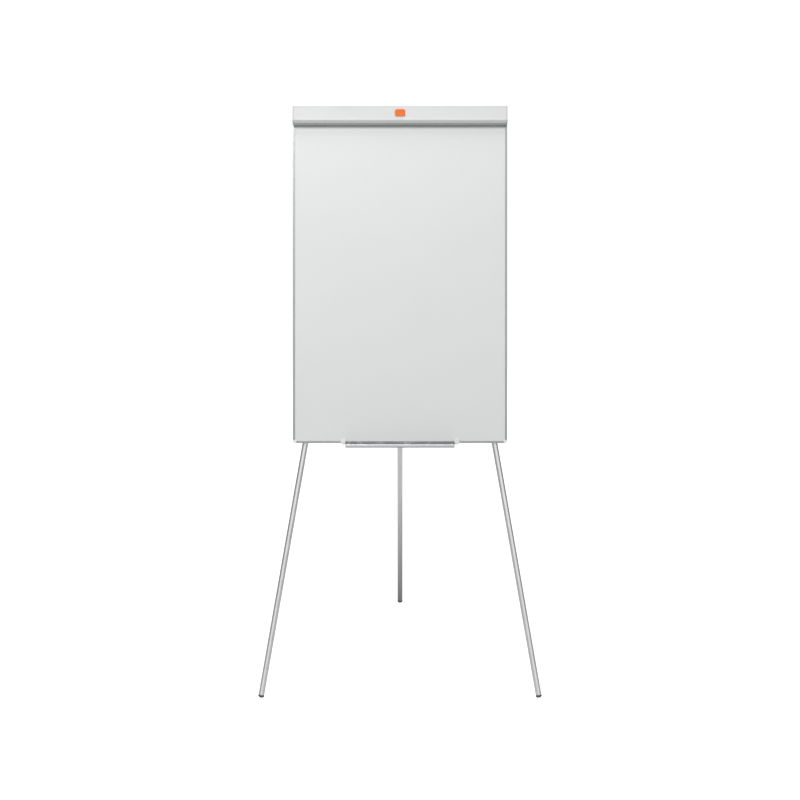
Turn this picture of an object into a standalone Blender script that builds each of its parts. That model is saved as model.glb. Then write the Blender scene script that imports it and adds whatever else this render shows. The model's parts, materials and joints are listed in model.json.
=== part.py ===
"""Tripod flipchart easel: a steel-faced board with a hinged pad clamp, on three folding telescopic legs.

Everything is built standing upright in the board's own frame, with x across the board, y into its back
and z up its face from the floor line. One empty then leans the whole easel back. Sizes are in metres.
"""

import math

import bmesh
import bpy
from mathutils import Matrix, Vector

# ---------------------------------------------------------------- driving dimensions
LEAN = math.radians(13.0)  # the board and the front legs lean back this far
SPLAY = math.radians(9.94)  # each front leg from the board's centre line
REAR_OPEN = math.radians(27.33)  # the rear leg from the board's plane

GAP = 0.0003  # between pieces that touch
RUN = 0.0004  # between a pin and its bore

BOARD_WIDTH = 0.690
BOARD_BOTTOM = 0.831
PANEL_TOP = 1.8932
PANEL_DEPTH = 0.012
FACE_SHEET = 0.0005
BACK_SHEET = 0.0004

TRIM_FACE = 0.007  # how far a trim laps over the board's face
TRIM_WALL = 0.0012
CORNER = 0.011
CORNER_RADIUS = 0.0065

CLAMP_TOP = 1.915
CLAMP_FACE_BOTTOM = 1.8665
CLAMP_BOTTOM = 1.858
CLAMP_FRONT = -0.024
CLAMP_WALL = 0.0015
CLAMP_PIN_Y = 0.006
CLAMP_PIN_Z = 1.904
CLAMP_PIN_RADIUS = 0.0025
END_CAP = 0.0037

TRAY_WIDTH = 0.350
TRAY_BOTTOM = 0.8175
TRAY_LIP = 0.828
TRAY_BACK = 0.836
TRAY_FRONT = -0.0476
TRAY_WALL = 0.0016

PIVOT_X = 0.1289  # front leg pivots
PIVOT_Z = 1.840
LEG_DEPTH = 0.031
REAR_PIVOT_Y = 0.069
REAR_PIVOT_Z = 1.838
PIVOT_RADIUS = 0.004

UPPER_RADIUS = 0.0112
LOWER_RADIUS = 0.0095
TUBE_WALL = 0.0012
UPPER_START = 0.0203  # distances along a leg are measured down from its pivot
UPPER_END = 0.930
LOWER_START = 0.820
COLLAR_START = 0.900
COLLAR_END = 0.960
COLLAR_RADIUS = 0.0165
LOCK_AT = 0.945
KNOB_RADIUS = 0.017
LOCK_RADIUS = 0.003

FOOT_RADIUS = 0.0097
FOOT_BALL = 0.014  # radius of the foot's domed sole
FOOT_FLAT = 0.0006  # how much of the dome is flattened by the floor
FOOT_SKIRT = 0.005  # the tip's straight rim above its dome
FOOT_PLUG = 0.022

KEEPER_AT = 0.860
SIDES = 24  # facets round a tube
SMALL_SIDES = 16  # facets round a screw or a pin

# ---------------------------------------------------------------- scene and helpers
for old in list(bpy.data.objects):
    bpy.data.objects.remove(old, do_unlink=True)

easel = bpy.data.collections.new("flipchart_easel")
cutters = bpy.data.collections.new("cutters")
bpy.context.scene.collection.children.link(easel)
bpy.context.scene.collection.children.link(cutters)


def material(name, colour, roughness, metallic=0.0):
    made = bpy.data.materials.new(name)
    made.use_nodes = True
    shader = made.node_tree.nodes["Principled BSDF"]
    shader.inputs["Base Color"].default_value = (*colour, 1.0)
    shader.inputs["Roughness"].default_value = roughness
    shader.inputs["Metallic"].default_value = metallic
    made.diffuse_color = (*colour, 1.0)
    return made


WHITE_ENAMEL = material("white_enamel", (0.80, 0.81, 0.81), 0.25)
CLAMP_PAINT = material("clamp_paint", (0.78, 0.78, 0.78), 0.40)
TRIM_ALUMINIUM = material("trim_aluminium", (0.50, 0.51, 0.52), 0.35, 1.0)
LEG_ALUMINIUM = material("leg_aluminium", (0.66, 0.67, 0.68), 0.30, 1.0)
GALVANISED = material("galvanised_steel", (0.55, 0.56, 0.57), 0.45, 1.0)
BRACKET_PAINT = material("bracket_paint", (0.42, 0.43, 0.44), 0.45)
ZINC = material("zinc_steel", (0.60, 0.61, 0.62), 0.30, 1.0)
BLACK_PLASTIC = material("black_plastic", (0.03, 0.03, 0.032), 0.50)
GREY_RUBBER = material("grey_rubber", (0.16, 0.17, 0.17), 0.70)
FOOT_RUBBER = material("foot_rubber", (0.05, 0.05, 0.05), 0.75)
WHITE_PLASTIC = material("white_plastic", (0.83, 0.83, 0.82), 0.40)
ORANGE_PLASTIC = material("orange_plastic", (0.90, 0.20, 0.03), 0.35)
CORE_CARD = material("core_card", (0.45, 0.35, 0.24), 0.90)


def empty(name, parent, location, rotation=(0, 0, 0)):
    made = bpy.data.objects.new(name, None)
    easel.objects.link(made)
    made.parent = parent
    made.location = location
    made.rotation_euler = rotation
    return made


def place(name, mesh, look, parent, location=(0, 0, 0), smooth=0.6):
    """One named object of the easel. Faces that meet at less than smooth radians are shaded round."""
    made = bpy.data.objects.new(name, mesh)
    easel.objects.link(made)
    mesh.materials.clear()
    mesh.materials.append(look)
    mesh.shade_smooth()
    mesh.set_sharp_from_angle(angle=smooth)
    made.parent = parent
    made.location = location
    return made


def as_cutter(made):
    easel.objects.unlink(made)
    cutters.objects.link(made)
    made.hide_render = True
    made.display_type = "WIRE"
    return made


def combine(target, tool, operation):
    step = target.modifiers.new(operation.lower(), "BOOLEAN")
    step.object = as_cutter(tool)
    step.operation = operation
    step.solver = "EXACT"
    return target


def join(target, tool):
    return combine(target, tool, "UNION")


def cut(target, tool):
    return combine(target, tool, "DIFFERENCE")


AXES = {
    "x": Matrix(((0, 0, 1), (1, 0, 0), (0, 1, 0))).to_4x4(),  # an outline of (y, z), thick along x
    "y": Matrix.Rotation(math.pi / 2, 4, "X"),  # an outline of (x, z), thick along y
    "z": Matrix.Identity(4),  # an outline of (x, y), thick along z
}


def plate_mesh(name, outlines, low, high, axis, chamfer=0):
    """A flat outline, with any further outlines as holes in it, from low to high along axis."""
    flat = bpy.data.curves.new(name, "CURVE")
    flat.dimensions = "2D"
    flat.fill_mode = "BOTH"
    flat.extrude = (high - low) / 2 - chamfer
    flat.bevel_depth = chamfer
    flat.bevel_resolution = 0
    flat.offset = -chamfer
    for outline in outlines:
        spline = flat.splines.new("POLY")
        spline.points.add(len(outline) - 1)
        for point, (a, b) in zip(spline.points, outline):
            point.co = (a, b, 0, 1)
        spline.use_cyclic_u = True
    drawn = bpy.data.objects.new(name, flat)
    easel.objects.link(drawn)
    graph = bpy.context.evaluated_depsgraph_get()
    mesh = bpy.data.meshes.new_from_object(drawn.evaluated_get(graph))
    bpy.data.objects.remove(drawn)
    middle = {"x": Vector((1, 0, 0)), "y": Vector((0, 1, 0)), "z": Vector((0, 0, 1))}[axis] * (low + high) / 2
    mesh.transform(Matrix.Translation(middle) @ AXES[axis])
    made = bmesh.new()
    made.from_mesh(mesh)
    bmesh.ops.remove_doubles(made, verts=made.verts, dist=1e-6)
    bmesh.ops.recalc_face_normals(made, faces=made.faces)
    made.to_mesh(mesh)
    made.free()
    return mesh


def plate(name, outlines, low, high, axis, look, parent, chamfer=0):
    return place(name, plate_mesh(name, outlines, low, high, axis, chamfer), look, parent)


def box(name, low, high, look, parent, location=(0, 0, 0)):
    """A block between two corners."""
    mesh = bpy.data.meshes.new(name)
    made = bmesh.new()
    bmesh.ops.create_cube(made, size=1)
    low, high = Vector(low), Vector(high)
    bmesh.ops.scale(made, vec=high - low, verts=made.verts)
    bmesh.ops.translate(made, vec=(low + high) / 2, verts=made.verts)
    made.to_mesh(mesh)
    made.free()
    return place(name, mesh, look, parent, location)


def rod_mesh(name, radius, low, high, axis, sides=SIDES):
    """A plain cylinder from low to high along axis, through the origin."""
    mesh = bpy.data.meshes.new(name)
    made = bmesh.new()
    ends = {"radius1": radius, "radius2": radius, "depth": high - low}
    bmesh.ops.create_cone(made, cap_ends=True, segments=sides, **ends)
    bmesh.ops.translate(made, vec=(0, 0, (low + high) / 2), verts=made.verts)
    bmesh.ops.transform(made, matrix=AXES[axis] if axis != "y" else AXES["y"].inverted(), verts=made.verts)
    made.to_mesh(mesh)
    made.free()
    return mesh


def rod(name, radius, low, high, axis, look, parent, location=(0, 0, 0), sides=SIDES):
    return place(name, rod_mesh(name, radius, low, high, axis, sides), look, parent, location)


def turned_mesh(name, profile, axis="z", sides=SIDES):
    """A profile of (radius, height) pairs, from top to bottom down its outer side, turned round axis."""
    mesh = bpy.data.meshes.new(name)
    made = bmesh.new()
    points = [made.verts.new((radius, 0, height)) for radius, height in profile]
    for a, b in zip(points, points[1:]):
        made.edges.new((a, b))
    made.to_mesh(mesh)
    made.free()
    drawn = bpy.data.objects.new(name, mesh)
    easel.objects.link(drawn)
    screw = drawn.modifiers.new("turn", "SCREW")
    screw.steps = sides
    screw.render_steps = sides
    screw.use_merge_vertices = True
    screw.merge_threshold = 1e-5
    graph = bpy.context.evaluated_depsgraph_get()
    turned = bpy.data.meshes.new_from_object(drawn.evaluated_get(graph))
    bpy.data.objects.remove(drawn)
    made = bmesh.new()
    made.from_mesh(turned)
    bmesh.ops.remove_doubles(made, verts=made.verts, dist=1e-6)
    bmesh.ops.recalc_face_normals(made, faces=made.faces)
    made.to_mesh(turned)
    made.free()
    turned.transform(AXES[axis] if axis != "y" else AXES["y"].inverted())
    return turned


def turned(name, profile, look, parent, location=(0, 0, 0), axis="z", sides=SIDES):
    return place(name, turned_mesh(name, profile, axis, sides), look, parent, location)


def pipe(name, radius, wall, low, high, look, parent):
    """A tube along z, open at both ends."""
    inner = radius - wall
    profile = [(inner, high), (radius, high), (radius, low), (inner, low), (inner, high)]
    return turned(name, profile, look, parent)


def arc(centre, radius, start, end, steps):
    """Points along an arc, angles in degrees, counted from the first axis towards the second."""
    angles = [math.radians(start + (end - start) * i / steps) for i in range(steps + 1)]
    return [(centre[0] + radius * math.cos(a), centre[1] + radius * math.sin(a)) for a in angles]


def circle(centre, radius, steps=SMALL_SIDES):
    return arc(centre, radius, 0, 360 * (steps - 1) / steps, steps - 1)


def rectangle(low, high):
    return [low, (high[0], low[1]), high, (low[0], high[1])]


def rounded_rectangle(low, high, radius, steps=4):
    (a, b), (c, d) = low, high
    return (
        arc((c - radius, d - radius), radius, 0, 90, steps)
        + arc((a + radius, d - radius), radius, 90, 180, steps)
        + arc((a + radius, b + radius), radius, 180, 270, steps)
        + arc((c - radius, b + radius), radius, 270, 360, steps)
    )


ground = empty("easel_on_floor", None, (0, 0, 0))
board = empty("board_frame", ground, (0, 0, 0), (-LEAN, 0, 0))

HALF = BOARD_WIDTH / 2
SIGNS = (("left", -1), ("right", 1))

# ---------------------------------------------------------------- fasteners that go through the panel
SCREW_HOLE = 0.0019 + GAP
YOKE_SCREWS = [(x, z) for x in (-0.162, 0.162) for z in (1.820, 1.850)]
CLIP_X = TRAY_WIDTH / 2 + 0.008
CLIP_SCREW_Z = 0.846
CLIP_SCREWS = [(-CLIP_X, CLIP_SCREW_Z), (CLIP_X, CLIP_SCREW_Z)]
KEEPER_SCREW = 0.016  # each side of a keeper's middle, along the leg


def keeper_screws():
    places = []
    for side in (-1, 1):
        for along in (KEEPER_AT - KEEPER_SCREW, KEEPER_AT + KEEPER_SCREW):
            places.append((side * (PIVOT_X + along * math.sin(SPLAY)), PIVOT_Z - along * math.cos(SPLAY)))
    return places


# ---------------------------------------------------------------- writing panel
PANEL_INSET = TRIM_WALL + GAP
PANEL_LOW = (-HALF + PANEL_INSET, BOARD_BOTTOM + PANEL_INSET + 0.0001)
PANEL_HIGH = (HALF - PANEL_INSET, PANEL_TOP)
DRILLED = [circle(spot, SCREW_HOLE, 12) for spot in YOKE_SCREWS + CLIP_SCREWS + keeper_screws()]


plate("steel_face_sheet", [rectangle(PANEL_LOW, PANEL_HIGH)], 0, FACE_SHEET, "y", WHITE_ENAMEL, board)
plate(
    "core_board",
    [rectangle(PANEL_LOW, PANEL_HIGH)] + DRILLED,
    FACE_SHEET + GAP,
    PANEL_DEPTH - BACK_SHEET - GAP,
    "y",
    CORE_CARD,
    board,
)
plate(
    "backing_sheet",
    [rectangle(PANEL_LOW, PANEL_HIGH)] + DRILLED,
    PANEL_DEPTH - BACK_SHEET,
    PANEL_DEPTH,
    "y",
    GALVANISED,
    board,
)

# ---------------------------------------------------------------- edge trims and corner caps
TRIM_FRONT = -GAP - TRIM_WALL
TRIM_REAR = PANEL_DEPTH + GAP + TRIM_WALL


def channel(edge, inward):
    """A U outline lying over a board edge, as (across, depth) pairs. Inward is the sign towards the board."""
    inner, reach = edge + inward * TRIM_WALL, edge + inward * TRIM_FACE
    return [
        (edge, TRIM_FRONT),
        (edge, TRIM_REAR),
        (reach, TRIM_REAR),
        (reach, TRIM_REAR - TRIM_WALL),
        (inner, TRIM_REAR - TRIM_WALL),
        (inner, TRIM_FRONT + TRIM_WALL),
        (reach, TRIM_FRONT + TRIM_WALL),
        (reach, TRIM_FRONT),
    ]


for side, sign in SIGNS:
    low, high = BOARD_BOTTOM + CORNER + GAP, PANEL_TOP - 0.0012
    plate(f"side_trim_{side}", [channel(sign * HALF, -sign)], low, high, "z", TRIM_ALUMINIUM, board)


def corner_outline():
    """The right-hand cap's outline, with its outer bottom corner rounded."""
    inner, top = HALF - CORNER, BOARD_BOTTOM + CORNER
    centre = (HALF - CORNER_RADIUS, BOARD_BOTTOM + CORNER_RADIUS)
    return [(inner, BOARD_BOTTOM)] + arc(centre, CORNER_RADIUS, 270, 360, 5) + [(HALF, top), (inner, top)]


def corner_cap(side, sign):
    """A moulding over the panel's bottom corner, in line with the trims that it joins."""
    outline = [(sign * x, z) for x, z in corner_outline()]
    cap = plate(f"corner_cap_{side}", [outline], TRIM_FRONT, TRIM_REAR, "y", WHITE_PLASTIC, board)
    low_x, high_x = sorted((0, sign * (HALF - TRIM_WALL)))
    low = (low_x, TRIM_FRONT + TRIM_WALL, BOARD_BOTTOM + TRIM_WALL + 0.0001)
    high = (high_x, TRIM_REAR - TRIM_WALL, BOARD_BOTTOM + 0.05)
    cut(cap, box(f"corner_slot_{side}", low, high, WHITE_PLASTIC, board))


for side, sign in SIGNS:
    corner_cap(side, sign)

bottom_outline = [(depth, across) for across, depth in channel(BOARD_BOTTOM, 1)]
plate("bottom_trim", [bottom_outline], -HALF + CORNER + GAP, HALF - CORNER - GAP, "x", TRIM_ALUMINIUM, board)

# ---------------------------------------------------------------- top rail, hook track and pad hooks
RAIL_HALF = HALF - TRIM_FACE - 0.0006
RAIL_BOTTOM = 1.872
RAIL_TOP = PANEL_TOP + 0.0023
RAIL_WALL = 0.0018
RAIL_FRONT = -GAP - RAIL_WALL
RAIL_REAR = PANEL_DEPTH + GAP + RAIL_WALL


def rail_outline():
    """A U that stands upside down over the panel's top edge."""
    outer = [(RAIL_FRONT, RAIL_BOTTOM), (RAIL_FRONT, RAIL_TOP)]
    outer += [(RAIL_REAR, RAIL_TOP), (RAIL_REAR, RAIL_BOTTOM)]
    front, rear, top = RAIL_FRONT + RAIL_WALL, RAIL_REAR - RAIL_WALL, RAIL_TOP - 0.002
    return outer + [(rear, RAIL_BOTTOM), (rear, top), (front, top), (front, RAIL_BOTTOM)]


plate("top_rail", [rail_outline()], -RAIL_HALF, RAIL_HALF, "x", TRIM_ALUMINIUM, board)

TRACK_HALF = 0.300
TRACK_FRONT = -0.0064
TRACK_BACK = -0.0044
TRACK_LOW = 1.875
TRACK_HIGH = 1.887
TRACK_MIDDLE = (TRACK_LOW + TRACK_HIGH) / 2
SPACER_RADIUS = 0.0028
SPACER_X = 0.292
track_low, track_high = (-TRACK_HALF, TRACK_FRONT, TRACK_LOW), (TRACK_HALF, TRACK_BACK, TRACK_HIGH)
track = box("hook_track", track_low, track_high, ZINC, board)
for index, x in enumerate((-SPACER_X, 0, SPACER_X)):
    ends = (TRACK_BACK - 0.0005, RAIL_FRONT - GAP)
    spot = (x, 0, TRACK_MIDDLE)
    join(track, rod(f"track_spacer_{index}", SPACER_RADIUS, *ends, "y", ZINC, board, spot, SMALL_SIDES))

HOOK_X = 0.150
HOOK_WIDTH = 0.014
HOOK_FRONT = -0.0095
HOOK_BACK = -0.0026
HOOK_REACH = 0.0028  # past the track, above and below
HOOK_LAP = 0.0055
HOOK_WALL = 0.0015
PEG_RADIUS = 0.003
PEG_HEAD = 0.0043
PEG_LENGTH = 0.011


def slider_outline():
    """A C that wraps the track from its front, as (depth, height) pairs."""
    low, high = TRACK_LOW - HOOK_REACH, TRACK_HIGH + HOOK_REACH
    lap, inside = HOOK_BACK - HOOK_WALL, TRACK_FRONT - GAP
    lower = [(HOOK_FRONT, low), (HOOK_BACK, low), (HOOK_BACK, low + HOOK_LAP), (lap, low + HOOK_LAP)]
    hollow = [(lap, TRACK_LOW - GAP), (inside, TRACK_LOW - GAP)]
    hollow += [(inside, TRACK_HIGH + GAP), (lap, TRACK_HIGH + GAP)]
    upper = [(lap, high - HOOK_LAP), (HOOK_BACK, high - HOOK_LAP), (HOOK_BACK, high), (HOOK_FRONT, high)]
    return lower + hollow + upper


def pad_hook(name, x):
    """A slider that wraps the track, with a headed peg for the pad's punched holes."""
    low, high = x - HOOK_WIDTH / 2, x + HOOK_WIDTH / 2
    slider = plate(name, [slider_outline()], low, high, "x", BLACK_PLASTIC, board)
    profile = [
        (0, 0.001),
        (PEG_RADIUS, 0.001),
        (PEG_RADIUS, 0.0025 - PEG_LENGTH),
        (PEG_HEAD, 0.0018 - PEG_LENGTH),
        (PEG_HEAD, 0.001 - PEG_LENGTH),
        (PEG_HEAD - 0.0009, 0.0003 - PEG_LENGTH),
        (0, -PEG_LENGTH),
    ]
    spot = (x, HOOK_FRONT, TRACK_MIDDLE)
    return join(slider, turned(f"{name}_peg", profile, BLACK_PLASTIC, board, spot, "y", SMALL_SIDES))


pad_hook("pad_hook_left", -HOOK_X)
pad_hook("pad_hook_right", HOOK_X)

# ---------------------------------------------------------------- pad clamp
CAP_INNER = HALF - END_CAP
CLAMP_REAR = 0.013
CLAMP_BEND = 0.004
CLAMP_TURN = -0.017  # where the slanted wall meets the lip under it
CLAMP_LIP_END = -0.004
PIN_SPOT = (0, CLAMP_PIN_Y, CLAMP_PIN_Z)


def clamp_outer():
    """The clamp bar's outer side, from its rear edge over the top, down the face and in under the bottom."""
    bend = arc((CLAMP_FRONT + CLAMP_BEND, CLAMP_TOP - CLAMP_BEND), CLAMP_BEND, 90, 180, 5)
    foot = [(CLAMP_FRONT, CLAMP_FACE_BOTTOM), (CLAMP_TURN, CLAMP_BOTTOM), (CLAMP_LIP_END, CLAMP_BOTTOM)]
    return [(CLAMP_REAR, CLAMP_TOP)] + bend + foot


def clamp_inner():
    """The same bends one wall thickness further in, back to the rear edge."""
    rise = CLAMP_WALL * 0.45  # where two slanted walls of this thickness meet
    lip_top = CLAMP_BOTTOM + CLAMP_WALL
    foot = [(CLAMP_LIP_END, lip_top), (CLAMP_TURN + rise, lip_top)]
    foot += [(CLAMP_FRONT + CLAMP_WALL, CLAMP_FACE_BOTTOM + rise)]
    centre = (CLAMP_FRONT + CLAMP_BEND, CLAMP_TOP - CLAMP_BEND)
    return foot + arc(centre, CLAMP_BEND - CLAMP_WALL, 180, 90, 5) + [(CLAMP_REAR, CLAMP_TOP - CLAMP_WALL)]


bar_outline = clamp_outer() + clamp_inner()
plate("clamp_bar", [bar_outline], -CAP_INNER + GAP, CAP_INNER - GAP, "x", CLAMP_PAINT, board)

CAP_FLOOR = PANEL_TOP + 0.0043
CAP_SKIN = 0.0007  # left over the pin's end
for side, sign in SIGNS:
    low_x, high_x = sorted((sign * CAP_INNER, sign * HALF))
    outline = clamp_outer() + [(CLAMP_LIP_END, CAP_FLOOR), (CLAMP_REAR, CAP_FLOOR)]
    cap = plate(f"clamp_end_cap_{side}", [outline], low_x, high_x, "x", CLAMP_PAINT, board)
    ends = sorted((sign * (CAP_INNER - 0.01), sign * (HALF - CAP_SKIN)))
    radius = CLAMP_PIN_RADIUS + RUN
    cut(cap, rod(f"clamp_cap_bore_{side}", radius, *ends, "x", CLAMP_PAINT, board, PIN_SPOT, SMALL_SIDES))

STRIP_TOP = CLAMP_BOTTOM - GAP
STRIP_BOTTOM = 1.8505
STRIP_FRONT = -0.0155
STRIP_REAR = -GAP - 0.0015


def strip_outline():
    """The rubber's section, slanted at the back so that its foot presses on the pad."""
    top = [(STRIP_FRONT, STRIP_TOP), (STRIP_REAR - 0.0027, STRIP_TOP), (STRIP_REAR, STRIP_TOP - 0.0022)]
    return top + [(STRIP_REAR, STRIP_BOTTOM), (STRIP_FRONT + 0.003, STRIP_BOTTOM), (STRIP_FRONT, 1.8530)]


plate("clamp_grip_strip", [strip_outline()], -CAP_INNER, CAP_INNER, "x", GREY_RUBBER, board)

BADGE_HALF = 0.0166
BADGE_BACK = CLAMP_FRONT - GAP
badge_outline = rounded_rectangle((-BADGE_HALF, 1.8785), (BADGE_HALF, 1.9015), 0.0035)
plate("clamp_badge", [badge_outline], BADGE_BACK - 0.001, BADGE_BACK, "y", ORANGE_PLASTIC, board)

BRACKET_IN, BRACKET_OUT = 0.311, 0.333
BRACKET_SHEET = 0.002
BRACKET_TOP = CLAMP_PIN_Z + 0.007
BRACKET_DEPTH = (-0.0005, 0.0125)
PIN_IN, PIN_OUT = 0.313, HALF - 0.0012


def bracket_outline(sign):
    """An L: a foot on the top rail and an ear that holds the pin."""
    foot, ear = RAIL_TOP + GAP, BRACKET_OUT - BRACKET_SHEET
    outer = [(BRACKET_IN, foot), (BRACKET_OUT, foot), (BRACKET_OUT, BRACKET_TOP), (ear, BRACKET_TOP)]
    inner = [(ear, foot + BRACKET_SHEET), (BRACKET_IN, foot + BRACKET_SHEET)]
    return [(sign * x, z) for x, z in outer + inner]


for side, sign in SIGNS:
    bracket = plate(f"clamp_bracket_{side}", [bracket_outline(sign)], *BRACKET_DEPTH, "y", ZINC, board)
    ends = sorted((sign * (BRACKET_OUT - 0.006), sign * (BRACKET_OUT + 0.004)))
    radius = CLAMP_PIN_RADIUS + GAP
    cut(bracket, rod(f"bracket_hole_{side}", radius, *ends, "x", ZINC, board, PIN_SPOT, SMALL_SIDES))
    ends = sorted((sign * PIN_IN, sign * PIN_OUT))
    rod(f"clamp_hinge_pin_{side}", CLAMP_PIN_RADIUS, *ends, "x", ZINC, board, PIN_SPOT, SMALL_SIDES)

SPRING_WIRE = 0.0006
SPRING_RADIUS = 0.0050
SPRING_PITCH = 0.0022
SPRING_START_X = 0.3288
SPRING_TAIL = 0.0085
SPRING_TURNS = 4.5
SPRING_STEPS = 8


def coil_point(turn):
    angle = 2 * math.pi * turn
    depth = CLAMP_PIN_Y - SPRING_RADIUS * math.sin(angle)
    return (SPRING_START_X - SPRING_PITCH * turn, depth, CLAMP_PIN_Z - SPRING_RADIUS * math.cos(angle))


def spring_path():
    """A torsion spring: a short tail, turns round the hinge pin, then an arm onto the clamp bar's lip."""
    tail = [(SPRING_START_X, CLAMP_PIN_Y + SPRING_TAIL, CLAMP_PIN_Z - SPRING_RADIUS)]
    coil = [coil_point(i / SPRING_STEPS) for i in range(int(SPRING_TURNS * SPRING_STEPS) + 1)]
    end_x, top = coil[-1][0], CLAMP_PIN_Z + SPRING_RADIUS
    arm = [(-0.0165, top), (-0.0188, top - 0.0008), (-0.0196, top - 0.003)]
    arm += [(-0.0190, 1.8680), (-0.0150, 1.8606)]
    return tail + coil + [(end_x, y, z) for y, z in arm]


def wire_mesh(name, points, radius):
    line = bpy.data.curves.new(name, "CURVE")
    line.dimensions = "3D"
    line.bevel_depth = radius
    line.bevel_resolution = 2
    line.use_fill_caps = True
    spline = line.splines.new("POLY")
    spline.points.add(len(points) - 1)
    for point, place_at in zip(spline.points, points):
        point.co = (*place_at, 1)
    drawn = bpy.data.objects.new(name, line)
    easel.objects.link(drawn)
    graph = bpy.context.evaluated_depsgraph_get()
    mesh = bpy.data.meshes.new_from_object(drawn.evaluated_get(graph))
    bpy.data.objects.remove(drawn)
    made = bmesh.new()
    made.from_mesh(mesh)
    bmesh.ops.remove_doubles(made, verts=made.verts, dist=1e-6)
    made.to_mesh(mesh)
    made.free()
    return mesh


right_spring = wire_mesh("clamp_spring", spring_path(), SPRING_WIRE)
left_spring = wire_mesh("clamp_spring_mirrored", [(-x, y, z) for x, y, z in spring_path()], SPRING_WIRE)
place("clamp_spring_right", right_spring, ZINC, board)
place("clamp_spring_left", left_spring, ZINC, board)

# ---------------------------------------------------------------- pen tray
TRAY_SCREW_X = TRAY_WIDTH / 2 - 0.0075
TRAY_SCREW_Z = 0.8255
TRAY_BACK_FACE = TRIM_FRONT - GAP
TRAY_END = 0.002
TRAY_BEAD = 0.0019
TRAY_BEND = 0.002
CLIP_IN = TRAY_WIDTH / 2 + 0.0004
CLIP_OUT = TRAY_WIDTH / 2 + 0.0160
CLIP_WALL = 0.0031
CLIP_BOTTOM = 0.8265
CLIP_FRONT_TOP = 0.8450
CLIP_BACK_TOP = 0.852
TAB_WIDTH = 0.0155


def tray_profile():
    """Back wall, floor and front lip, the lip ending in a round bead."""
    back, front, floor = TRAY_BACK_FACE, TRAY_FRONT, TRAY_BOTTOM + TRAY_WALL
    return (
        [(back, TRAY_BACK), (back - TRAY_WALL, TRAY_BACK), (back - TRAY_WALL, floor + TRAY_BEND)]
        + [(back - TRAY_WALL - TRAY_BEND, floor), (front + TRAY_WALL + TRAY_BEND, floor)]
        + [(front + TRAY_WALL, floor + TRAY_BEND)]
        + arc((front + TRAY_BEAD, TRAY_LIP - TRAY_BEAD), TRAY_BEAD, -30, 180, 7)
        + [(front, TRAY_BOTTOM + TRAY_BEND), (front + TRAY_BEND, TRAY_BOTTOM)]
        + [(back - TRAY_BEND, TRAY_BOTTOM), (back, TRAY_BOTTOM + TRAY_BEND)]
    )


def tray_end_outline():
    """The plate that closes the channel's end, lower at the front than at the back."""
    back, front, bend = TRAY_BACK_FACE, TRAY_FRONT, 0.003
    top = [(back, TRAY_BACK), (back - 0.004, TRAY_BACK), (front + bend, TRAY_LIP), (front, TRAY_LIP - 0.002)]
    return top + [(front, TRAY_BOTTOM + bend), (front + bend, TRAY_BOTTOM), (back, TRAY_BOTTOM)]


def pen_tray():
    ends = (TRAY_END / 2 - TRAY_WIDTH / 2, TRAY_WIDTH / 2 - TRAY_END / 2)
    tray = plate("pen_tray", [tray_profile()], *ends, "x", LEG_ALUMINIUM, board)
    for side, sign in SIGNS:
        ends = sorted((sign * (TRAY_WIDTH / 2 - TRAY_END), sign * TRAY_WIDTH / 2))
        join(tray, plate(f"tray_end_{side}", [tray_end_outline()], *ends, "x", LEG_ALUMINIUM, board))
        spot = (sign * TRAY_SCREW_X, 0, TRAY_SCREW_Z)
        hole = rod(f"tray_hole_{side}", SCREW_HOLE, -0.01, 0.01, "y", LEG_ALUMINIUM, board, spot, SMALL_SIDES)
        cut(tray, hole)


def clip_outline():
    """A J that hooks under the board's bottom edge, short in front and long behind."""
    front, back, under = TRIM_FRONT - GAP, TRIM_REAR + GAP, BOARD_BOTTOM - GAP
    step = BOARD_BOTTOM + TRIM_FACE + 0.0006
    before = [(TRIM_FRONT - CLIP_WALL, CLIP_BOTTOM), (TRIM_FRONT - CLIP_WALL, CLIP_FRONT_TOP - 0.001)]
    before += [(TRIM_FRONT - CLIP_WALL + 0.0009, CLIP_FRONT_TOP), (front, CLIP_FRONT_TOP), (front, under)]
    behind = [(back, under), (back, step), (PANEL_DEPTH + GAP, step), (PANEL_DEPTH + GAP, CLIP_BACK_TOP)]
    return before + behind + [(TRIM_REAR + CLIP_WALL, CLIP_BACK_TOP), (TRIM_REAR + CLIP_WALL, CLIP_BOTTOM)]


def tray_clip(side, sign):
    ends = sorted((sign * CLIP_IN, sign * CLIP_OUT))
    clip = plate(f"tray_clip_{side}", [clip_outline()], *ends, "x", WHITE_PLASTIC, board)
    low_x, high_x = sorted((sign * (CLIP_IN - TAB_WIDTH), sign * (CLIP_IN + 0.001)))
    low, high = (low_x, TRAY_BACK_FACE + GAP, 0.8205), (high_x, 0.010, BOARD_BOTTOM - 0.0008)
    join(clip, box(f"tray_tab_{side}", low, high, WHITE_PLASTIC, board))
    spot = (sign * TRAY_SCREW_X, 0, TRAY_SCREW_Z)
    ends = (-0.02, 0.0081)
    cut(clip, rod(f"tab_hole_{side}", SCREW_HOLE, *ends, "y", WHITE_PLASTIC, board, spot, SMALL_SIDES))
    spot = (sign * CLIP_X, 0, CLIP_SCREW_Z)
    cut(clip, rod(f"clip_hole_{side}", SCREW_HOLE, 0.002, 0.03, "y", WHITE_PLASTIC, board, spot, SMALL_SIDES))


pen_tray()
for side, sign in SIGNS:
    tray_clip(side, sign)

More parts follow.
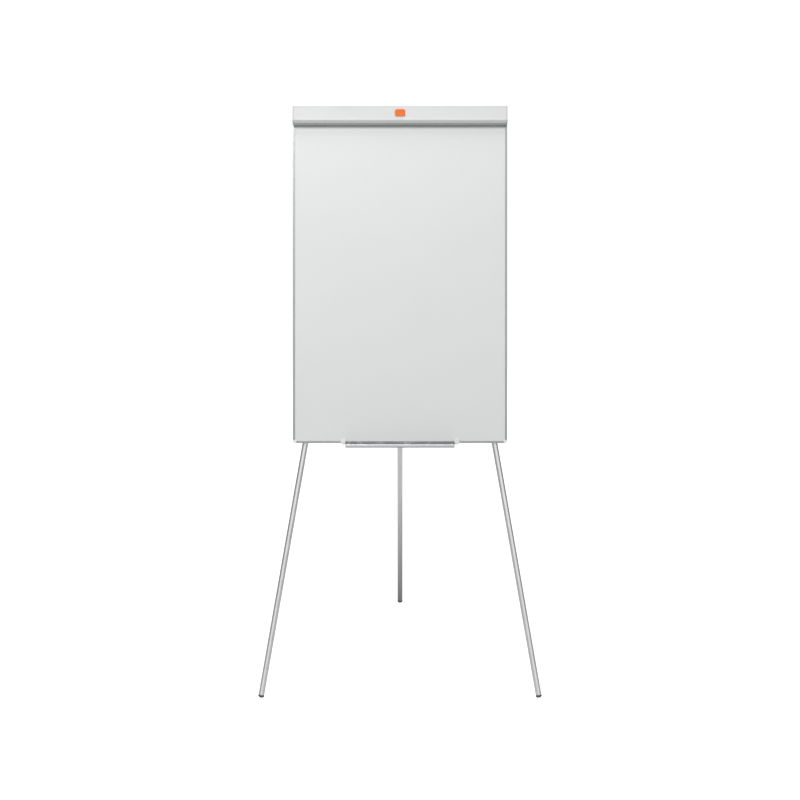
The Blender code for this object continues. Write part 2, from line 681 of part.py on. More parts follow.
# ---------------------------------------------------------------- leg yoke behind the board
YOKE_FRONT = PANEL_DEPTH + 0.0004
YOKE_SHEET = 0.002
YOKE_REAR = 2 * LEG_DEPTH - (YOKE_FRONT + YOKE_SHEET)  # its inner faces are even about the legs
YOKE_TOP = 1.868
YOKE_FRONT_FOOT = 1.800
YOKE_REAR_FOOT = 1.806
YOKE_HALF = 0.150
WING_HALF = 0.174
REAR_FACE = YOKE_REAR + YOKE_SHEET
RIVET_HOLE = 0.002 + GAP
RIVETS = [(x, z) for x in (-0.022, 0.022) for z in (REAR_PIVOT_Z - 0.018, REAR_PIVOT_Z + 0.018)]
THROUGH_FRONT = (0.005, 0.025)
THROUGH_REAR = (0.040, 0.060)


def yoke_outline():
    """Front wall, top and rear wall of the folded sheet, as (depth, height) pairs."""
    inner_front, inner_top = YOKE_FRONT + YOKE_SHEET, YOKE_TOP - YOKE_SHEET
    outer = [(YOKE_FRONT, YOKE_FRONT_FOOT), (YOKE_FRONT, YOKE_TOP), (REAR_FACE, YOKE_TOP)]
    outer += [(REAR_FACE, YOKE_REAR_FOOT), (YOKE_REAR, YOKE_REAR_FOOT)]
    return outer + [(YOKE_REAR, inner_top), (inner_front, inner_top), (inner_front, YOKE_FRONT_FOOT)]


def leg_yoke():
    """The folded bracket that carries all three legs, with a screwed-on wing at each end."""
    yoke = plate("leg_yoke", [yoke_outline()], -YOKE_HALF, YOKE_HALF, "x", BRACKET_PAINT, board)
    wings = rounded_rectangle((-WING_HALF, 1.808), (WING_HALF, 1.862), 0.008)
    join(yoke, plate("yoke_wings", [wings], YOKE_FRONT, YOKE_FRONT + YOKE_SHEET, "y", BRACKET_PAINT, board))
    holes = [(x, z, SCREW_HOLE, THROUGH_FRONT) for x, z in YOKE_SCREWS]
    holes += [(x, z, RIVET_HOLE, THROUGH_REAR) for x, z in RIVETS]
    holes += [(sign * PIVOT_X, PIVOT_Z, PIVOT_RADIUS + RUN, THROUGH_REAR) for _, sign in SIGNS]
    for index, (x, z, radius, ends) in enumerate(holes):
        hole = rod(f"yoke_hole_{index}", radius, *ends, "y", BRACKET_PAINT, board, (x, 0, z), SMALL_SIDES)
        cut(yoke, hole)


leg_yoke()

NUT_RADIUS = 0.0075  # across the corners
NUT_DEPTH = 0.0065


def nut_mesh(axis):
    """A hexagon nut that starts at the origin and runs up its axis."""
    ring = circle((0, 0), NUT_RADIUS, 6)
    return plate_mesh("nut", [ring, circle((0, 0), PIVOT_RADIUS + GAP)], 0, NUT_DEPTH, axis)


STUD_ENDS = (YOKE_FRONT + YOKE_SHEET + GAP, REAR_FACE + 0.0105)
for side, sign in SIGNS:
    pivot = (sign * PIVOT_X, 0, PIVOT_Z)
    rod(f"{side}_pivot_stud", PIVOT_RADIUS, *STUD_ENDS, "y", ZINC, board, pivot, SMALL_SIDES)
    place(f"{side}_pivot_nut", nut_mesh("y"), ZINC, board, (sign * PIVOT_X, REAR_FACE + GAP, PIVOT_Z))

# ---------------------------------------------------------------- rear leg's hinge bracket
HINGE_FRONT = REAR_FACE + GAP
HINGE_SHEET = 0.002
HINGE_HALF = 0.030
HINGE_RISE = 0.026
EAR_IN = 0.0118
EAR_OUT = EAR_IN + HINGE_SHEET
EAR_RADIUS = 0.0125
BOLT_HEAD = 0.0055
REAR_SPOT = (0, REAR_PIVOT_Y, REAR_PIVOT_Z)


def rear_hinge_bracket():
    """A plate riveted to the yoke, with two ears that hold the rear leg's bolt."""
    low, high = (-HINGE_HALF, REAR_PIVOT_Z - HINGE_RISE), (HINGE_HALF, REAR_PIVOT_Z + HINGE_RISE)
    depths = (HINGE_FRONT, HINGE_FRONT + HINGE_SHEET)
    base = [rounded_rectangle(low, high, 0.005)]
    hinge = plate("rear_hinge_bracket", base, *depths, "y", BRACKET_PAINT, board)
    root = HINGE_FRONT + HINGE_SHEET / 2
    ear = [(root, REAR_PIVOT_Z + 0.021), (root, REAR_PIVOT_Z - 0.021)]
    ear += arc((REAR_PIVOT_Y, REAR_PIVOT_Z), EAR_RADIUS, -75, 75, 8)
    for side, sign in SIGNS:
        ends = sorted((sign * EAR_IN, sign * EAR_OUT))
        join(hinge, plate(f"hinge_ear_{side}", [ear], *ends, "x", BRACKET_PAINT, board))
    radius = PIVOT_RADIUS + RUN
    bore = rod("hinge_bore", radius, -0.02, 0.02, "x", BRACKET_PAINT, board, REAR_SPOT, SMALL_SIDES)
    cut(hinge, bore)
    for index, (x, z) in enumerate(RIVETS):
        name = f"hinge_hole_{index}"
        hole = rod(name, RIVET_HOLE, *THROUGH_REAR, "y", BRACKET_PAINT, board, (x, 0, z), SMALL_SIDES)
        cut(hinge, hole)


rear_hinge_bracket()
bolt_head = [circle((REAR_PIVOT_Y, REAR_PIVOT_Z), NUT_RADIUS, 6)]
bolt = plate("rear_pivot_bolt", bolt_head, -EAR_OUT - GAP - BOLT_HEAD, -EAR_OUT - GAP, "x", ZINC, board)
SHANK_ENDS = (-EAR_OUT - 0.002, EAR_OUT + 0.0095)
join(bolt, rod("bolt_shank", PIVOT_RADIUS, *SHANK_ENDS, "x", ZINC, board, REAR_SPOT, SMALL_SIDES))
place("rear_pivot_nut", nut_mesh("x"), ZINC, board, (EAR_OUT + GAP, REAR_PIVOT_Y, REAR_PIVOT_Z))

# ---------------------------------------------------------------- the three legs
BARREL_RADIUS = 0.011
PLUG_RADIUS = UPPER_RADIUS - TUBE_WALL - GAP
PLUG_END = -0.045
BOSS_RADIUS = 0.0085
BOSS_END = 0.0235
HEEL = [(-0.0166, 0.0020), (-0.0166, 0.0120), (-0.0120, 0.0150), (0.0, 0.0130), (0.0, 0.0)]


def ball_height():
    """Height of the centre of a foot's domed sole above the floor."""
    return FOOT_BALL - FOOT_FLAT


def front_leg_length():
    drop = PIVOT_Z * math.cos(LEAN) - LEG_DEPTH * math.sin(LEAN) - ball_height()
    return drop / (math.cos(SPLAY) * math.cos(LEAN))


def rear_leg_length():
    drop = REAR_PIVOT_Z * math.cos(LEAN) - REAR_PIVOT_Y * math.sin(LEAN) - ball_height()
    return drop / math.cos(REAR_OPEN - LEAN)


def knuckle(leg, frame, axis, half):
    """The moulded end that plugs into the upper tube and turns on the pivot."""
    seat = GAP - UPPER_START
    stem = [(0, -0.002), (UPPER_RADIUS, -0.006), (UPPER_RADIUS, seat), (PLUG_RADIUS, seat)]
    stem += [(PLUG_RADIUS, PLUG_END + 0.002), (PLUG_RADIUS - 0.002, PLUG_END), (0, PLUG_END)]
    made = turned(f"{leg}_knuckle", stem, BLACK_PLASTIC, frame)
    join(made, rod(f"{leg}_barrel", BARREL_RADIUS, -half, half, axis, BLACK_PLASTIC, frame))
    if leg == "rear":
        cosine, sine = math.cos(REAR_OPEN), math.sin(REAR_OPEN)
        heel = [(y * cosine + z * sine, z * cosine - y * sine) for y, z in HEEL]
        join(made, plate("rear_heel", [heel], -half, half, "x", BLACK_PLASTIC, frame))
    bore = rod(f"{leg}_bore", PIVOT_RADIUS + RUN, -0.03, 0.03, axis, BLACK_PLASTIC, frame, sides=SMALL_SIDES)
    return cut(made, bore)


def collar_profile():
    """A sleeve round the upper tube's end, closed in below onto the lower tube."""
    seat, slide, ledge = UPPER_RADIUS + GAP, LOWER_RADIUS + RUN, -UPPER_END - GAP
    outer = [(COLLAR_RADIUS - 0.003, -COLLAR_START), (COLLAR_RADIUS, -COLLAR_START - 0.005)]
    outer += [(COLLAR_RADIUS, -COLLAR_END + 0.006), (COLLAR_RADIUS - 0.003, -COLLAR_END)]
    inner = [(slide, -COLLAR_END), (slide, ledge), (seat, ledge), (seat, -COLLAR_START)]
    return [(seat, -COLLAR_START)] + outer + inner


def lock_collar(leg, frame):
    """The sleeve at the upper tube's end that carries the height lock."""
    made = turned(f"{leg}_lock_collar", collar_profile(), BLACK_PLASTIC, frame)
    spot = (0, 0, -LOCK_AT)
    join(made, rod(f"{leg}_boss", BOSS_RADIUS, 0.012, BOSS_END, "y", BLACK_PLASTIC, frame, spot))
    radius = LOCK_RADIUS + RUN
    bore = rod(f"{leg}_boss_bore", radius, 0.002, 0.04, "y", BLACK_PLASTIC, frame, spot, SMALL_SIDES)
    return cut(made, bore)


def knob_outline(lobes=5, steps=8):
    """A round knob with shallow finger hollows between its lobes."""
    count = lobes * steps
    points = []
    for i in range(count):
        angle = 2 * math.pi * i / count
        radius = KNOB_RADIUS - 0.0016 * (1 - math.cos(lobes * angle))
        points.append((radius * math.cos(angle), -LOCK_AT + radius * math.sin(angle)))
    return points


KNOB_FRONT = 0.0250
KNOB_REAR = 0.0370
KNOB_CHAMFER = 0.0015
HUB_RADIUS = 0.0075
SCREW_END = 0.0321


def height_lock(leg, frame):
    """The clamping knob, and the screw moulded into it that bears on the lower tube."""
    depths = (KNOB_FRONT, KNOB_REAR)
    knob = plate(f"{leg}_lock_knob", [knob_outline()], *depths, "y", BLACK_PLASTIC, frame, KNOB_CHAMFER)
    spot = (0, 0, -LOCK_AT)
    ends = (BOSS_END + RUN, KNOB_FRONT + 0.004)
    join(knob, rod(f"{leg}_knob_hub", HUB_RADIUS, *ends, "y", BLACK_PLASTIC, frame, spot, SMALL_SIDES))
    ends = (0.02, SCREW_END + RUN)
    radius = LOCK_RADIUS + GAP
    cut(knob, rod(f"{leg}_knob_socket", radius, *ends, "y", BLACK_PLASTIC, frame, spot, SMALL_SIDES))
    ends = (LOWER_RADIUS + GAP, SCREW_END)
    rod(f"{leg}_lock_screw", LOCK_RADIUS, *ends, "y", ZINC, frame, spot, SMALL_SIDES)


FLOOR_BLOCK = box("floor_block", (-1, -0.5, -0.1), (1, 1.5, 0), FOOT_RUBBER, ground)
as_cutter(FLOOR_BLOCK)


def foot(leg, frame, length):
    """A rubber tip plugged into the lower tube. Its domed sole has a small flat where it meets the floor."""
    inner = LOWER_RADIUS - TUBE_WALL - GAP
    rim = math.degrees(math.asin(FOOT_RADIUS / FOOT_BALL))
    dome = arc((0, -length), FOOT_BALL, rim - 90, -90, 6)
    dome[-1] = (0, dome[-1][1])
    shoulder = dome[0][1] + FOOT_SKIRT
    top = shoulder + FOOT_PLUG
    profile = [(0, top), (inner, top), (inner, shoulder), (FOOT_RADIUS, shoulder)] + dome
    made = turned(f"{leg}_foot", profile, FOOT_RUBBER, frame)
    flat = made.modifiers.new("floor", "BOOLEAN")
    flat.object = FLOOR_BLOCK
    flat.operation = "DIFFERENCE"
    return shoulder + GAP


def guide_bush(leg, frame):
    """A plastic plug in the lower tube's top end that keeps it central in the upper one."""
    radius = UPPER_RADIUS - TUBE_WALL - RUN
    plug = LOWER_RADIUS - TUBE_WALL - GAP
    top, foot_end = -LOWER_START + 0.008, -LOWER_START - 0.018
    head = [(0, top), (radius - 0.001, top), (radius, top - 0.001), (radius, -LOWER_START + GAP)]
    stem = [(plug, -LOWER_START + GAP), (plug, foot_end), (0, foot_end)]
    turned(f"{leg}_guide_bush", head + stem, WHITE_PLASTIC, frame)


def telescopic_leg(leg, frame, length, pivot_axis, barrel_half):
    knuckle(leg, frame, pivot_axis, barrel_half)
    pipe(f"{leg}_upper_tube", UPPER_RADIUS, TUBE_WALL, -UPPER_END, -UPPER_START, LEG_ALUMINIUM, frame)
    lock_collar(leg, frame)
    height_lock(leg, frame)
    tube_end = foot(leg, frame, length)
    pipe(f"{leg}_lower_tube", LOWER_RADIUS, TUBE_WALL, tube_end, -LOWER_START, LEG_ALUMINIUM, frame)
    guide_bush(leg, frame)


left_frame = empty("left_leg_frame", board, (-PIVOT_X, LEG_DEPTH, PIVOT_Z), (0, SPLAY, 0))
right_frame = empty("right_leg_frame", board, (PIVOT_X, LEG_DEPTH, PIVOT_Z), (0, -SPLAY, 0))
rear_frame = empty("rear_leg_frame", board, (0, REAR_PIVOT_Y, REAR_PIVOT_Z), (REAR_OPEN, 0, 0))
front_half = LEG_DEPTH - (YOKE_FRONT + YOKE_SHEET) - RUN
telescopic_leg("left", left_frame, front_leg_length(), "y", front_half)
telescopic_leg("right", right_frame, front_leg_length(), "y", front_half)
telescopic_leg("rear", rear_frame, rear_leg_length(), "x", EAR_IN - RUN)

# ---------------------------------------------------------------- keepers that hold the spread front legs
KEEPER_BASE = PANEL_DEPTH + GAP - LEG_DEPTH
KEEPER_CLEAR = UPPER_RADIUS + RUN
KEEPER_FOOT = 0.0028
KEEPER_HALF = 0.010
KEEPER_END = 0.023


def keeper_outline():
    """The left keeper's section: a base, a wall on the outer side of the leg, and a lip behind it."""
    wall, inner, back = -0.0155, 0.0130, 0.0152
    base = [(wall, KEEPER_BASE), (inner, KEEPER_BASE), (inner, -KEEPER_CLEAR), (-KEEPER_CLEAR, -KEEPER_CLEAR)]
    lip = [(-KEEPER_CLEAR, KEEPER_CLEAR), (0.0045, KEEPER_CLEAR), (0.0068, 0.0134), (0.0045, back)]
    return base + lip + [(wall + 0.002, back), (wall, back - 0.002)]


def leg_keeper(side, frame, sign):
    """A plastic hook on the board's back, open towards the middle, that stops the leg's outward swing."""
    hook = [(-sign * x, y) for x, y in keeper_outline()]
    low, high = -KEEPER_AT - KEEPER_HALF, -KEEPER_AT + KEEPER_HALF
    made = plate(f"leg_keeper_{side}", [hook], low, high, "z", BLACK_PLASTIC, frame)
    base = [rounded_rectangle((-0.011, -KEEPER_AT - KEEPER_END), (0.011, -KEEPER_AT + KEEPER_END), 0.006)]
    depths = (KEEPER_BASE, KEEPER_BASE + KEEPER_FOOT)
    join(made, plate(f"keeper_foot_{side}", base, *depths, "y", BLACK_PLASTIC, frame))
    for index, z in enumerate((-KEEPER_AT - KEEPER_SCREW, -KEEPER_AT + KEEPER_SCREW)):
        name = f"keeper_hole_{side}_{index}"
        cut(made, rod(name, SCREW_HOLE, -0.03, 0.0, "y", BLACK_PLASTIC, frame, (0, 0, z), SMALL_SIDES))


leg_keeper("left", left_frame, -1)
leg_keeper("right", right_frame, 1)


# ---------------------------------------------------------------- centre the easel over the row's origin
def footprint_middle():
    """The middle of everything built, front to back, in the world's frame."""
    bpy.context.view_layer.update()
    graph = bpy.context.evaluated_depsgraph_get()
    depths = []
    for made in easel.objects:
        if made.type == "MESH":
            shape = made.evaluated_get(graph)
            depths += [(shape.matrix_world @ v.co).y for v in shape.data.vertices]
    return (min(depths) + max(depths)) / 2


ground.location.y = -footprint_middle()
bpy.context.view_layer.update()
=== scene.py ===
import json
import math

import bmesh
import bpy
from mathutils import Matrix, Vector


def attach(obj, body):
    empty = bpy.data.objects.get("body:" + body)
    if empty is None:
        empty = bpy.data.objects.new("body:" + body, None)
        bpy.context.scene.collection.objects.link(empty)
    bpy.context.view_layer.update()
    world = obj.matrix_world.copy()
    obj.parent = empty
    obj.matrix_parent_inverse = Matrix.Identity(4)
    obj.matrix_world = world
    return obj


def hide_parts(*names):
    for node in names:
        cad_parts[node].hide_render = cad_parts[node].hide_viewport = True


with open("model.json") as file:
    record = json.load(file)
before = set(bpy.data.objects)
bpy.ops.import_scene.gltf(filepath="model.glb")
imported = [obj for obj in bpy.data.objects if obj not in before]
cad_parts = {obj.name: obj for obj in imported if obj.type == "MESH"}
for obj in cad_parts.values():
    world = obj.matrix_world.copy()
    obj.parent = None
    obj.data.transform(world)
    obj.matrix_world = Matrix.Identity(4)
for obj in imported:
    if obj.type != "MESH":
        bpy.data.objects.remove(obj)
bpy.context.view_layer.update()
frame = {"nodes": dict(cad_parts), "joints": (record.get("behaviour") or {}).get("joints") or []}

# ---------------------------------------------------------------- the easel's own directions
# The board leans back and each leg has its own slope, so every piece is drawn upright in the frame of the
# board or of its leg, with x across, y into the back and z up. The joints' axes give those directions.
joints = {joint["name"]: joint for joint in frame["joints"]}


def upright(across, deep, up, origin):
    """A frame with these three directions as its axes."""
    return Matrix.Translation(origin) @ Matrix((across, deep, up)).transposed().to_4x4()


def local_box(place, node):
    """Lowest and highest corner of a solid, measured in a frame."""
    inverse = place.inverted()
    points = [inverse @ vertex.co for vertex in frame["nodes"][node].data.vertices]
    low = Vector(min(point[i] for point in points) for i in range(3))
    high = Vector(max(point[i] for point in points) for i in range(3))
    return low, high


ACROSS = Vector((1, 0, 0))
INTO_BACK = -Vector(joints["left_leg_fold"]["axis"])
UP_BOARD = ACROSS.cross(INTO_BACK)
untied = upright(ACROSS, INTO_BACK, UP_BOARD, Vector())
face_low, face_high = local_box(untied, "steel_face_sheet")
BOARD = upright(ACROSS, INTO_BACK, UP_BOARD, untied @ Vector((0, face_low.y, face_low.z)))
FACE_HEIGHT = face_high.z - face_low.z

LEGS = {}
for leg in ("left", "right", "rear"):
    up_leg = Vector(joints[f"{leg}_leg_telescope"]["axis"])
    into_leg = Vector(joints[f"{leg}_lock_turn"]["axis"])
    pivot = Vector(joints[f"{leg}_leg_fold"]["pos_m"])
    LEGS[leg] = upright(into_leg.cross(up_leg), into_leg, up_leg, pivot)

# ---------------------------------------------------------------- studio
# A camera square to the board, a pale floor without an edge, a large softbox above on the left, and weaker
# ones overhead, behind and on the right. The room is bright only in front, so that metal has form.
EYE_DISTANCE = 5.377
EYE_HEIGHT = 0.1373  # up the board from the foot of its face
camera = bpy.data.objects.new("camera", bpy.data.cameras.new("camera"))
camera.data.sensor_width = 36
camera.data.lens = 75.2
eye = BOARD @ Vector((0, -EYE_DISTANCE, EYE_HEIGHT))
camera.matrix_world = upright(ACROSS, UP_BOARD, -INTO_BACK, eye)
bpy.context.scene.collection.objects.link(camera)
bpy.context.scene.camera = camera
bpy.context.scene.view_settings.view_transform = "Standard"


def softbox(name, spot, aim, size, watts):
    lamp = bpy.data.lights.new(name, "AREA")
    lamp.shape = "RECTANGLE"
    lamp.size, lamp.size_y = size
    lamp.energy = watts
    made = bpy.data.objects.new(name, lamp)
    bpy.context.scene.collection.objects.link(made)
    made.location = spot
    made.rotation_euler = (Vector(aim) - Vector(spot)).to_track_quat("-Z", "Y").to_euler()
    return made


BOARD_MIDDLE = (0, -0.15, 1.3)
softbox("key_softbox", (-1.1, -2.5, 3.8), BOARD_MIDDLE, (1.6, 1.2), 55)
softbox("fill_softbox", (2.8, -2.6, 1.6), BOARD_MIDDLE, (1.2, 1.8), 1.5)
softbox("top_softbox", (0, 0.3, 4.0), (0, 0.1, 0), (2.4, 2.4), 55)
softbox("back_softbox", (1.8, 3.2, 2.6), (0, 0, 1.1), (1.6, 1.6), 48)


def sky():
    """A room for the metal to mirror, bright in front, weaker behind, and white where it is seen itself."""
    world = bpy.data.worlds.new("studio_room")
    bpy.context.scene.world = world
    world.use_nodes = True
    tree = world.node_tree
    background = tree.nodes["Background"]
    direction = tree.nodes.new("ShaderNodeTexCoord")
    split = tree.nodes.new("ShaderNodeSeparateXYZ")
    tree.links.new(direction.outputs["Generated"], split.inputs[0])
    both = tree.nodes.new("ShaderNodeMath")
    in_front, behind = (-0.98, -0.25, 1.0, 0.22), (0.15, 0.95, 0.0, 0.33)
    for i, (start, end, low, high) in enumerate((in_front, behind)):
        ramp = tree.nodes.new("ShaderNodeMapRange")
        ramp.interpolation_type = "SMOOTHSTEP"
        ramp.inputs["From Min"].default_value = start
        ramp.inputs["From Max"].default_value = end
        ramp.inputs["To Min"].default_value = low
        ramp.inputs["To Max"].default_value = high
        tree.links.new(split.outputs["Y"], ramp.inputs["Value"])
        tree.links.new(ramp.outputs["Result"], both.inputs[i])
    seen = tree.nodes.new("ShaderNodeLightPath")
    pick = tree.nodes.new("ShaderNodeMix")
    pick.inputs["B"].default_value = 1.05
    tree.links.new(seen.outputs["Is Camera Ray"], pick.inputs["Factor"])
    tree.links.new(both.outputs[0], pick.inputs["A"])
    tree.links.new(pick.outputs["Result"], background.inputs["Strength"])
    background.inputs["Color"].default_value = (1, 1, 1, 1)


sky()


def floor_paper():
    """White paper that glows enough to look even, and that lights the easel only as plain paper would."""
    paper = bpy.data.materials.new("floor_paper")
    paper.use_nodes = True
    tree = paper.node_tree
    matt = tree.nodes["Principled BSDF"]
    matt.inputs["Base Color"].default_value = (0.54, 0.54, 0.54, 1)
    matt.inputs["Roughness"].default_value = 1.0
    matt.inputs["Specular IOR Level"].default_value = 0.0
    seen = tree.nodes.new("ShaderNodeLightPath")
    glow = tree.nodes.new("ShaderNodeMath")
    glow.operation = "MULTIPLY"
    glow.inputs[1].default_value = 0.88
    matt.inputs["Emission Color"].default_value = (1, 1, 1, 1)
    tree.links.new(seen.outputs["Is Camera Ray"], glow.inputs[0])
    tree.links.new(glow.outputs[0], matt.inputs["Emission Strength"])
    return paper


def pale_floor():
    mesh = bpy.data.meshes.new("floor")
    drawn = bmesh.new()
    bmesh.ops.create_circle(drawn, cap_ends=True, segments=96, radius=400)
    drawn.to_mesh(mesh)
    drawn.free()
    floor = bpy.data.objects.new("floor", mesh)
    bpy.context.scene.collection.objects.link(floor)
    mesh.materials.append(floor_paper())
    floor.location.z = -0.0002


pale_floor()

# ---------------------------------------------------------------- steel writing face
# White vitreous enamel on a thin steel sheet: hard, glossy, very slightly rippled like orange peel, and
# duller in broad soft patches where a dry wiper leaves its film.


def effect(name, inputs, output):
    """A node group with number or vector inputs and one output. It returns the tree and its two ends."""
    tree = bpy.data.node_groups.new(name, "ShaderNodeTree")
    for label, value in inputs.items():
        kind = "NodeSocketFloat" if isinstance(value, float) else "NodeSocketVector"
        tree.interface.new_socket(label, in_out="INPUT", socket_type=kind).default_value = value
    tree.interface.new_socket(output, in_out="OUTPUT", socket_type="NodeSocketFloat")
    return tree, tree.nodes.new("NodeGroupInput"), tree.nodes.new("NodeGroupOutput")


def fine_texture():
    """A grain that is the same in every direction, as on cast, sprayed or moulded surfaces."""
    tree, given, result = effect("fine_texture", {"Scale": 800.0, "Softness": 2.0}, "Height")
    where = tree.nodes.new("ShaderNodeTexCoord")
    noise = tree.nodes.new("ShaderNodeTexNoise")
    noise.inputs["Roughness"].default_value = 0.55
    tree.links.new(where.outputs["Object"], noise.inputs["Vector"])
    tree.links.new(given.outputs["Scale"], noise.inputs["Scale"])
    tree.links.new(given.outputs["Softness"], noise.inputs["Detail"])
    tree.links.new(noise.outputs["Fac"], result.inputs["Height"])
    return tree


def smudges():
    """Broad soft patches, as hands and wipers leave. Start is the level from which a patch shows."""
    tree, given, result = effect("smudges", {"Scale": 6.0, "Start": 0.45, "Reach": 0.3}, "Mask")
    where = tree.nodes.new("ShaderNodeTexCoord")
    noise = tree.nodes.new("ShaderNodeTexNoise")
    noise.inputs["Detail"].default_value = 5
    noise.inputs["Distortion"].default_value = 0.8
    top = tree.nodes.new("ShaderNodeMath")
    spread = tree.nodes.new("ShaderNodeMapRange")
    tree.links.new(where.outputs["Object"], noise.inputs["Vector"])
    tree.links.new(given.outputs["Scale"], noise.inputs["Scale"])
    tree.links.new(given.outputs["Start"], top.inputs[0])
    tree.links.new(given.outputs["Reach"], top.inputs[1])
    tree.links.new(noise.outputs["Fac"], spread.inputs["Value"])
    tree.links.new(given.outputs["Start"], spread.inputs["From Min"])
    tree.links.new(top.outputs[0], spread.inputs["From Max"])
    tree.links.new(spread.outputs["Result"], result.inputs["Mask"])
    return tree


def drawn_lines():
    """Long fine lines, as drawing or brushing leaves. Stretch is how often they change along each axis."""
    tree, given, result = effect("drawn_lines", {"Stretch": (4.0, 900.0, 900.0)}, "Grain")
    where = tree.nodes.new("ShaderNodeTexCoord")
    pull = tree.nodes.new("ShaderNodeVectorMath")
    pull.operation = "MULTIPLY"
    noise = tree.nodes.new("ShaderNodeTexNoise")
    noise.inputs["Scale"].default_value = 1
    noise.inputs["Detail"].default_value = 4
    tree.links.new(where.outputs["Object"], pull.inputs[0])
    tree.links.new(given.outputs["Stretch"], pull.inputs[1])
    tree.links.new(pull.outputs["Vector"], noise.inputs["Vector"])
    tree.links.new(noise.outputs["Fac"], result.inputs["Grain"])
    return tree


FINE_TEXTURE = fine_texture()
SMUDGES = smudges()
DRAWN_LINES = drawn_lines()


def finish_of(name, roughness, metallic=0.0, coat=0.0, coat_roughness=0.1):
    """A material with its plain values set. It returns the material and its shader."""
    look = bpy.data.materials.new(name)
    look.use_nodes = True
    shader = look.node_tree.nodes["Principled BSDF"]
    shader.inputs["Roughness"].default_value = roughness
    shader.inputs["Metallic"].default_value = metallic
    shader.inputs["Coat Weight"].default_value = coat
    shader.inputs["Coat Roughness"].default_value = coat_roughness
    return look, shader


def use(look, tree, **values):
    """Places an effect in a material and returns its output."""
    node = look.node_tree.nodes.new("ShaderNodeGroup")
    node.node_tree = tree
    for label, value in values.items():
        node.inputs[label].default_value = value
    return node.outputs[0]


def colours(look, shader, mask, plain, marked):
    """Base colour from plain where the mask is 0 to marked where it is 1."""
    mix = look.node_tree.nodes.new("ShaderNodeMix")
    mix.data_type = "RGBA"
    mix.inputs[6].default_value = (*plain, 1)
    mix.inputs[7].default_value = (*marked, 1)
    look.node_tree.links.new(mask, mix.inputs[0])
    look.node_tree.links.new(mix.outputs[2], shader.inputs["Base Color"])


def gloss(look, shader, mask, at_none, at_full):
    """Roughness that follows a mask."""
    spread = look.node_tree.nodes.new("ShaderNodeMapRange")
    spread.inputs["To Min"].default_value = at_none
    spread.inputs["To Max"].default_value = at_full
    look.node_tree.links.new(mask, spread.inputs["Value"])
    look.node_tree.links.new(spread.outputs["Result"], shader.inputs["Roughness"])


def relief(look, shader, height, depth, strength=1.0):
    """Bumps this deep, in metres, laid over any that are there already."""
    bump = look.node_tree.nodes.new("ShaderNodeBump")
    bump.inputs["Distance"].default_value = depth
    bump.inputs["Strength"].default_value = strength
    look.node_tree.links.new(height, bump.inputs["Height"])
    if shader.inputs["Normal"].is_linked:
        below = shader.inputs["Normal"].links[0].from_socket
        look.node_tree.links.new(below, bump.inputs["Normal"])
    look.node_tree.links.new(bump.outputs["Normal"], shader.inputs["Normal"])


def white_enamel():
    look, shader = finish_of("white_enamel", 0.22, coat=0.5, coat_roughness=0.06)
    film = use(look, FINE_TEXTURE, Scale=4.0, Softness=3.0)
    colours(look, shader, film, (0.785, 0.795, 0.795), (0.745, 0.755, 0.757))
    gloss(look, shader, film, 0.22, 0.29)
    relief(look, shader, use(look, FINE_TEXTURE, Scale=260.0), 0.00003, 0.35)
    return look


def dress(node, look):
    """A solid that is already right in shape keeps it and takes a finished material."""
    materials = frame["nodes"][node].data.materials
    materials.clear()
    materials.append(look)


dress("steel_face_sheet", white_enamel())

# ---------------------------------------------------------------- core and backing
# The core is grey-brown card between the two sheets. The backing is thin galvanised steel, with the zinc's
# crystal flowers showing in soft patches.


def card():
    look, shader = finish_of("core_card", 0.9)
    fibres = use(look, FINE_TEXTURE, Scale=900.0, Softness=4.0)
    colours(look, shader, fibres, (0.36, 0.28, 0.19), (0.48, 0.38, 0.27))
    relief(look, shader, use(look, FINE_TEXTURE, Scale=1500.0), 0.0001, 0.6)
    return look


def galvanised(name, flower, base):
    """Zinc coating on steel. Flower is how many crystals lie along a metre, base the metal's colour."""
    look, shader = finish_of(name, 0.45, metallic=1.0)
    tree = look.node_tree
    where = tree.nodes.new("ShaderNodeTexCoord")
    cells = tree.nodes.new("ShaderNodeTexVoronoi")
    cells.inputs["Scale"].default_value = flower
    split = tree.nodes.new("ShaderNodeSeparateColor")
    tree.links.new(where.outputs["Object"], cells.inputs["Vector"])
    tree.links.new(cells.outputs["Color"], split.inputs[0])
    colours(look, shader, split.outputs["Red"], base, tuple(c * 0.88 for c in base))
    gloss(look, shader, split.outputs["Green"], 0.42, 0.52)
    relief(look, shader, use(look, FINE_TEXTURE, Scale=700.0), 0.00003, 0.4)
    return look


dress("core_board", card())
dress("backing_sheet", galvanised("galvanised_back", 150, (0.60, 0.61, 0.62)))

# ---------------------------------------------------------------- edge trims
# Extruded aluminium channels pushed over the board's sides and bottom, satin anodised, with the die's fine
# lines running along them and their edges just broken.


def anodised(name, stretch, colour):
    look, shader = finish_of(name, 0.32, metallic=1.0)
    lines = use(look, DRAWN_LINES, Stretch=stretch)
    handled = use(look, SMUDGES, Scale=9.0, Start=0.4, Reach=0.35)
    colours(look, shader, handled, colour, tuple(c * 0.93 for c in colour))
    gloss(look, shader, lines, 0.26, 0.42)
    relief(look, shader, lines, 0.00002, 0.5)
    return look


ALONG_X = (5.0, 1400.0, 1400.0)
ALONG_Z = (1400.0, 1400.0, 5.0)


